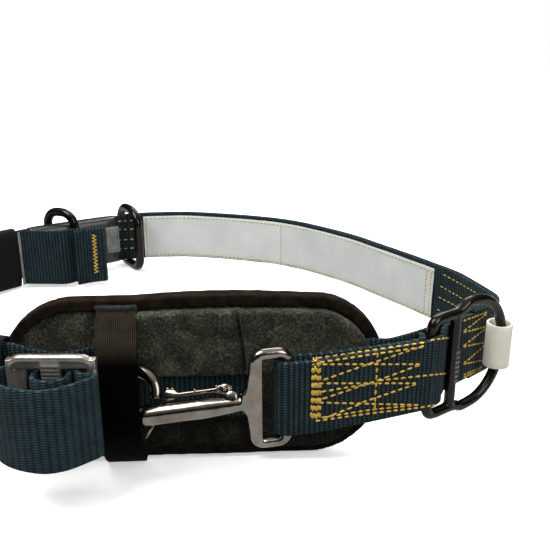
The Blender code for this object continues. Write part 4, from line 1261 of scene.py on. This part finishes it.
def slab(name, outline, half, place):
    """A flat plate from an outline in x and z, with half its thickness on both sides."""
    bm = bmesh.new()
    face = bm.faces.new([bm.verts.new((x, -half, z)) for x, z in outline])
    raised = bmesh.ops.extrude_face_region(bm, geom=[face])["geom"]
    bmesh.ops.translate(bm, verts=of_kind(raised, bmesh.types.BMVert), vec=(0, 2 * half, 0))
    bmesh.ops.recalc_face_normals(bm, faces=bm.faces)
    bmesh.ops.transform(bm, matrix=place, verts=bm.verts)
    return new_piece(name, bm)


class BELT_OT_hook(bpy.types.Operator):
    """Makes the plated snap hook and its gate"""
    bl_idname = "belt.hook"
    bl_label = "Snap hook"

    def execute(self, context):
        own = hook_matrix()
        middle = (HOOK_FRAME_RIGHT + HOOK_FRAME_LEFT) / 2
        span = (HOOK_FRAME_RIGHT - HOOK_FRAME_LEFT).xy.length
        turn = atan2(HOOK_FRAME_RIGHT.y - HOOK_FRAME_LEFT.y, HOOK_FRAME_RIGHT.x - HOOK_FRAME_LEFT.x)
        placed = Matrix.Translation((middle.x, middle.y, 0)) @ Matrix.Rotation(turn, 4, "Z")
        outline = rounded_frame(span / 2, HOOK_FRAME_HALF, 0.0055, 0.0055, Vector((0, 0, middle.z)))
        frame = tube("hook_frame_bar", [placed @ point for point in outline], HOOK_BAR, closed=True)
        shape = [(x - span / 2, z + middle.z) for x, z in HOOK_PLATE]
        plate = slab("hook_plate", shape, HOOK_PLATE_HALF, placed)
        centre = Vector((HOOK_BOWL_X, HOOK_BOWL_RADIUS, 0))
        sweep = HOOK_TIP_ANGLE - pi * 1.5
        bowl = [own @ Vector((HOOK_NOSE_X + 0.0100, 0, 0))]
        for k in range(41):
            angle = -pi / 2 + sweep * k / 40
            bowl.append(own @ (centre + Vector((cos(angle), sin(angle), 0)) * HOOK_BOWL_RADIUS))
        spine = tube("hook_bowl", bowl, HOOK_SPINE, squash=[1.0] * 34 + [1.0 - 0.02 * k for k in range(8)])
        arm = [own @ Vector((HOOK_NOSE_X + reach, 0, 0)) for reach, _ in HOOK_SHARES]
        bar = tube("hook_arm", arm, HOOK_ARM, squash=[share for _, share in HOOK_SHARES])
        leg = [Vector(point) + STAND_SHIFT for point in SPRING_LEG]
        settle(tube("spring_leg", leg, 0.0009), "chrome")
        body = cast_as_one("hook_casting", [frame, plate, spine, bar], 0.0007, 8)
        settle(body, "chrome", ["hook_body"])
        fork = bmesh.new()
        flat = Matrix.Diagonal((1, 1, 0.28, 1))
        for side in (-1, 1):
            for x, y, size in ((GATE_PIN_X, GATE_LEVEL, 0.0032), (GATE_PIN_X + 0.0030, 0.0040, 0.0040)):
                place = own @ Matrix.Translation((x, y, side * 0.0037)) @ flat
                bmesh.ops.create_uvsphere(fork, u_segments=18, v_segments=10, radius=size, matrix=place)
            place = own @ Matrix.Translation((GATE_PIN_X, GATE_LEVEL, side * 0.0048))
            bmesh.ops.create_uvsphere(fork, u_segments=14, v_segments=8, radius=0.0016, matrix=place)
        settle(new_piece("gate_fork", fork), "chrome")
        gate = node_copy("hook_gate", "gate_bar")
        modify(gate, "BEVEL", width=0.0005, segments=2, limit_method="ANGLE")
        bake_modifiers(gate)
        studs = bmesh.new()
        for x, y in GATE_STUDS:
            place = own @ Matrix.Translation((x + STAND_SHIFT.x, GATE_LEVEL + y, 0.0018))
            bmesh.ops.create_uvsphere(studs, u_segments=12, v_segments=8, radius=0.0012, matrix=place)
        gate = joined("gate_bar", [gate, new_piece("gate_studs", studs)])
        settle(gate, "chrome", ["hook_gate"], body="gate")
        return {"FINISHED"}


class BELT_OT_slide(bpy.types.Operator):
    """Makes the plated slide and its two loops of webbing"""
    bl_idname = "belt.slide"
    bl_label = "Slide"

    def execute(self, context):
        x, y, z = SLIDE_CENTRE
        outline = rounded_frame(SLIDE_LENGTH / 2 - SLIDE_WIRE, SLIDE_HALF, 0.006, 0.006, Vector((0, 0, z)))
        place = Matrix.Translation((x, y, 0))
        frame = tube("slide_outline", [place @ point for point in outline], SLIDE_WIRE, closed=True)
        bar = tube("slide_middle", [SLIDE_CENTRE + Vector((0, 0, k)) for k in (-SLIDE_HALF, 0.0, SLIDE_HALF)],
                   SLIDE_WIRE * 0.95)
        left = x - SLIDE_LENGTH / 2 + SLIDE_WIRE
        right = x + SLIDE_LENGTH / 2 - SLIDE_WIRE
        pieces = [frame, bar]
        # side plate, rail and tab: two opposite corners, half the thickness and how far each stands forward
        for name, low, high, half, front in (
            ("slide_side", (left, -0.0240), (left + 0.0085, 0.0240), 0.0018, 0.0),
            ("slide_rail", (left - 0.0020, 0.0250), (right + 0.0026, 0.0305), 0.0026, 0.0),
            ("slide_tab", (x - 0.0054, 0.0180), (x + 0.0054, 0.0292), 0.0019, -0.0011),
        ):
            corners = ((low[0], low[1]), (high[0], low[1]), (high[0], high[1]), (low[0], high[1]))
            pieces.append(slab(name, corners, half, Matrix.Translation((0, y + front, z))))
        for k in range(4):
            ends = [Vector((x + side * 0.0048, y - 0.0031, z + 0.0268 - 0.0024 * k)) for side in (-1, 0, 1)]
            pieces.append(tube(f"tab_ridge_{k}", ends, 0.0009))
        body = cast_as_one("slide_casting", pieces, 0.0006, 3)
        settle(body, "worn_chrome", ["slide_buckle"])
        reach = SLIDE_WIRE + GAP + WEB_THICK / 2
        inner = (
            (0.0, reach), (-0.0045, reach - 0.0006), (-0.0098, -0.0010), (-0.0080, -0.0090),
            (0.0, -0.0118), (0.0080, -0.0090), (0.0098, -0.0010), (0.0045, reach - 0.0006),
        )
        behind = y + reach + LAYER_STEP
        outer = (
            (left - reach - 0.0040, y - 0.0020), (left - reach - 0.0044, y - 0.0095),
            (left - 0.0040, y - 0.0162), (left + 0.0035, y - 0.0212),
            (left + 0.0125, y - 0.0245), (x - 0.0010, y - 0.0259),
            (x + 0.0070, y - 0.0240), (x + 0.0127, y - 0.0209), (x + 0.0203, y - 0.0144),
            (right + 0.0022, y - 0.0104), (right + 0.0038, y - 0.0078), (right + 0.0024, y - 0.0056),
            (right - 0.0040, y - 0.0058), (right - 0.0076, y - 0.0036), (right - 0.0084, y + 0.0010),
            (right - 0.0100, y + 0.0060), (x + 0.0060, behind + 0.0004), (x - 0.0060, behind + 0.0004),
            (left + 0.0040, y + reach + 0.0022), (left - 0.0022, y + 0.0046),
        )
        inner = [(x + a, y + b) for a, b in inner]
        for name, node, points, width, step in (
            ("slide_inner_webbing", "slide_inner_loop", inner, INNER_LOOP_WIDTH, 0.0018),
            ("slide_outer_webbing", "slide_outer_loop", outer, WEB_WIDTH, 0.0022),
        ):
            line, _ = smooth_line([Vector((a, b, z - 0.0010)) for a, b in points], step, closed=True)
            loop = webbing(name, line, width, WEB_THICK, closed=True)
            settle(loop, "webbing_rows", [node])
        return {"FINISHED"}


class BELT_OT_rings(bpy.types.Operator):
    """Makes the D-ring, its plastic sleeve and the keeper rings"""
    bl_idname = "belt.rings"
    bl_label = "Rings"

    def execute(self, context):
        outline = tube("d_wire", smooth_line(d_outline(), 0.0015, closed=True)[0], RING_WIRE, closed=True)
        bar = tube("d_bar", [d_point(0, 0, k * D_SLOT_HALF) for k in (-1, 0, 1)], D_BAR)
        ring = cast_as_one("d_ring_casting", [outline, bar], 0.0008, 4)
        settle(ring, "black_steel", ["d_ring"])
        ribs = []
        for k in range(BAR_RIBS):
            foot = d_point(0.0012, 0.0008, -0.0146 + BAR_RIB_STEP * k)
            ribs.append(tube(f"rib_{k}", [foot + Vector((0, 0, 0.0012 * j)) for j in range(3)], 0.0033))
        settle(joined("bar_ribs", ribs), "dull_steel")
        reach = D_DEPTH - RING_WIRE + D_SLEEVE_SHIFT
        middle = [d_point(reach, 0.0, D_SLEEVE_LENGTH * (k / 8 - 0.5)) for k in range(9)]
        pipe = pipe_wall("ring_sleeve_tube", middle, D_SLEEVE_OUTER, 0.0018)
        settle(pipe, "plastic", ["ring_sleeve"])
        for name, node, (near, far, high, high_radius, low_radius) in (
            ("keeper_link_b", "keeper_ring_b", RING_B), ("keeper_link_a", "keeper_ring_a", RING_A),
        ):
            centre = (near + far) / 2 + Vector((STAND_SHIFT.x, STAND_SHIFT.y, 0))
            turn = atan2(far.y - near.y, far.x - near.x)
            low = 0.0002
            half = (high - low) / 2 - LINK_WIRE
            level = Vector((0, 0, (high + low) / 2 + STAND_SHIFT.z))
            outline = rounded_frame((far - near).length / 2, half, high_radius, low_radius, level, 10)
            placed = Matrix.Translation(centre) @ Matrix.Rotation(turn, 4, "Z")
            link = tube(name, smooth_line([placed @ point for point in outline], 0.003, closed=True)[0],
                        LINK_WIRE, closed=True)
            settle(link, "black_steel", [node])
        return {"FINISHED"}


def pipe_wall(name, line, radius, wall):
    """A plastic pipe along a line: round sections bridged, then given a wall."""
    bm = bmesh.new()
    before = None
    for k, point in enumerate(line):
        ahead = line[min(k + 1, len(line) - 1)] - line[max(k - 1, 0)]
        place = Matrix.Translation(point) @ ahead.to_track_quat("Z", "Y").to_matrix().to_4x4()
        ring = bmesh.ops.create_circle(bm, segments=36, radius=radius, matrix=place)["verts"]
        before = add_section(bm, ring, before)
    bmesh.ops.recalc_face_normals(bm, faces=bm.faces)
    piece = new_piece(name, bm)
    modify(piece, "SOLIDIFY", thickness=wall, offset=-1.0)
    modify(piece, "BEVEL", width=0.0004, segments=2, limit_method="ANGLE", angle_limit=radians(50))
    return bake_modifiers(piece)


class BELT_OT_stitching(bpy.types.Operator):
    """Sews the golden seams where the photograph shows them"""
    bl_idname = "belt.stitching"
    bl_label = "Stitching"

    def execute(self, context):
        radius = looks().thread_radius
        pitch = looks().stitch_pitch
        start, foot = Vector(TACK_TOP), Vector(TACK_FOOT)
        zigzag = []
        for k in range(TACK_TEETH + 1):
            place = start.lerp(foot, k / TACK_TEETH)
            zigzag.append((place.x + TACK_REACH * (1 if k % 2 else -1), place.y))
        far = "far_inner_webbing"
        # name, pieces sewn, seams, pitch, gap between two stitches and thread's radius
        for row in (
            ("box_stitches", ["hook_webbing"], BOX_SEAMS, pitch, 0.0013, radius),
            ("opening_stitches", ["hook_webbing", "far_outer_webbing"], OPENING_SEAMS, pitch, 0.0010, radius),
            ("far_row_stitches", [far], FAR_SEAMS, 0.0050, 0.0016, radius * 0.7),
            ("ring_row_stitches", ["back_webbing", far], RING_SEAMS, 0.0075, 0.0030, radius * 0.9),
            ("tail_tack", ["tail_webbing"], [zigzag], 0.0080, 0.0, radius * 0.8),
            ("patch_stitches", ["leather_end_patch"], PATCH_SEAMS, 0.0032, 0.0010, 0.0004, "dark_thread"),
        ):
            sewn_dashes(*row)
        return {"FINISHED"}


class BELT_PT_panel(bpy.types.Panel):
    """The belt's pieces and settings"""
    bl_label = "Escape belt"
    bl_space_type = "VIEW_3D"
    bl_region_type = "UI"
    bl_category = "Escape belt"

    def draw(self, context):
        for name in BeltLooks.__annotations__:
            self.layout.prop(context.scene.belt_looks, name)
        for kind in OPERATORS:
            self.layout.operator(kind.bl_idname)


OPERATORS = (
    BELT_OT_materials, BELT_OT_straps, BELT_OT_hook_strap, BELT_OT_label, BELT_OT_sleeves, BELT_OT_pad,
    BELT_OT_elastic, BELT_OT_hook, BELT_OT_slide, BELT_OT_rings, BELT_OT_stitching, BELT_OT_stage,
)


def register():
    for kind in (BeltLooks, *OPERATORS, BELT_PT_panel):
        bpy.utils.register_class(kind)
    bpy.types.Scene.belt_looks = PointerProperty(type=BeltLooks)


def unregister():
    del bpy.types.Scene.belt_looks
    for kind in reversed((BeltLooks, *OPERATORS, BELT_PT_panel)):
        bpy.utils.unregister_class(kind)


def main():
    """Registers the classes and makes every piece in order."""
    register()
    for kind in OPERATORS:
        group, name = kind.bl_idname.split(".")
        getattr(getattr(bpy.ops, group), name)()


if __name__ == "__main__":
    main()
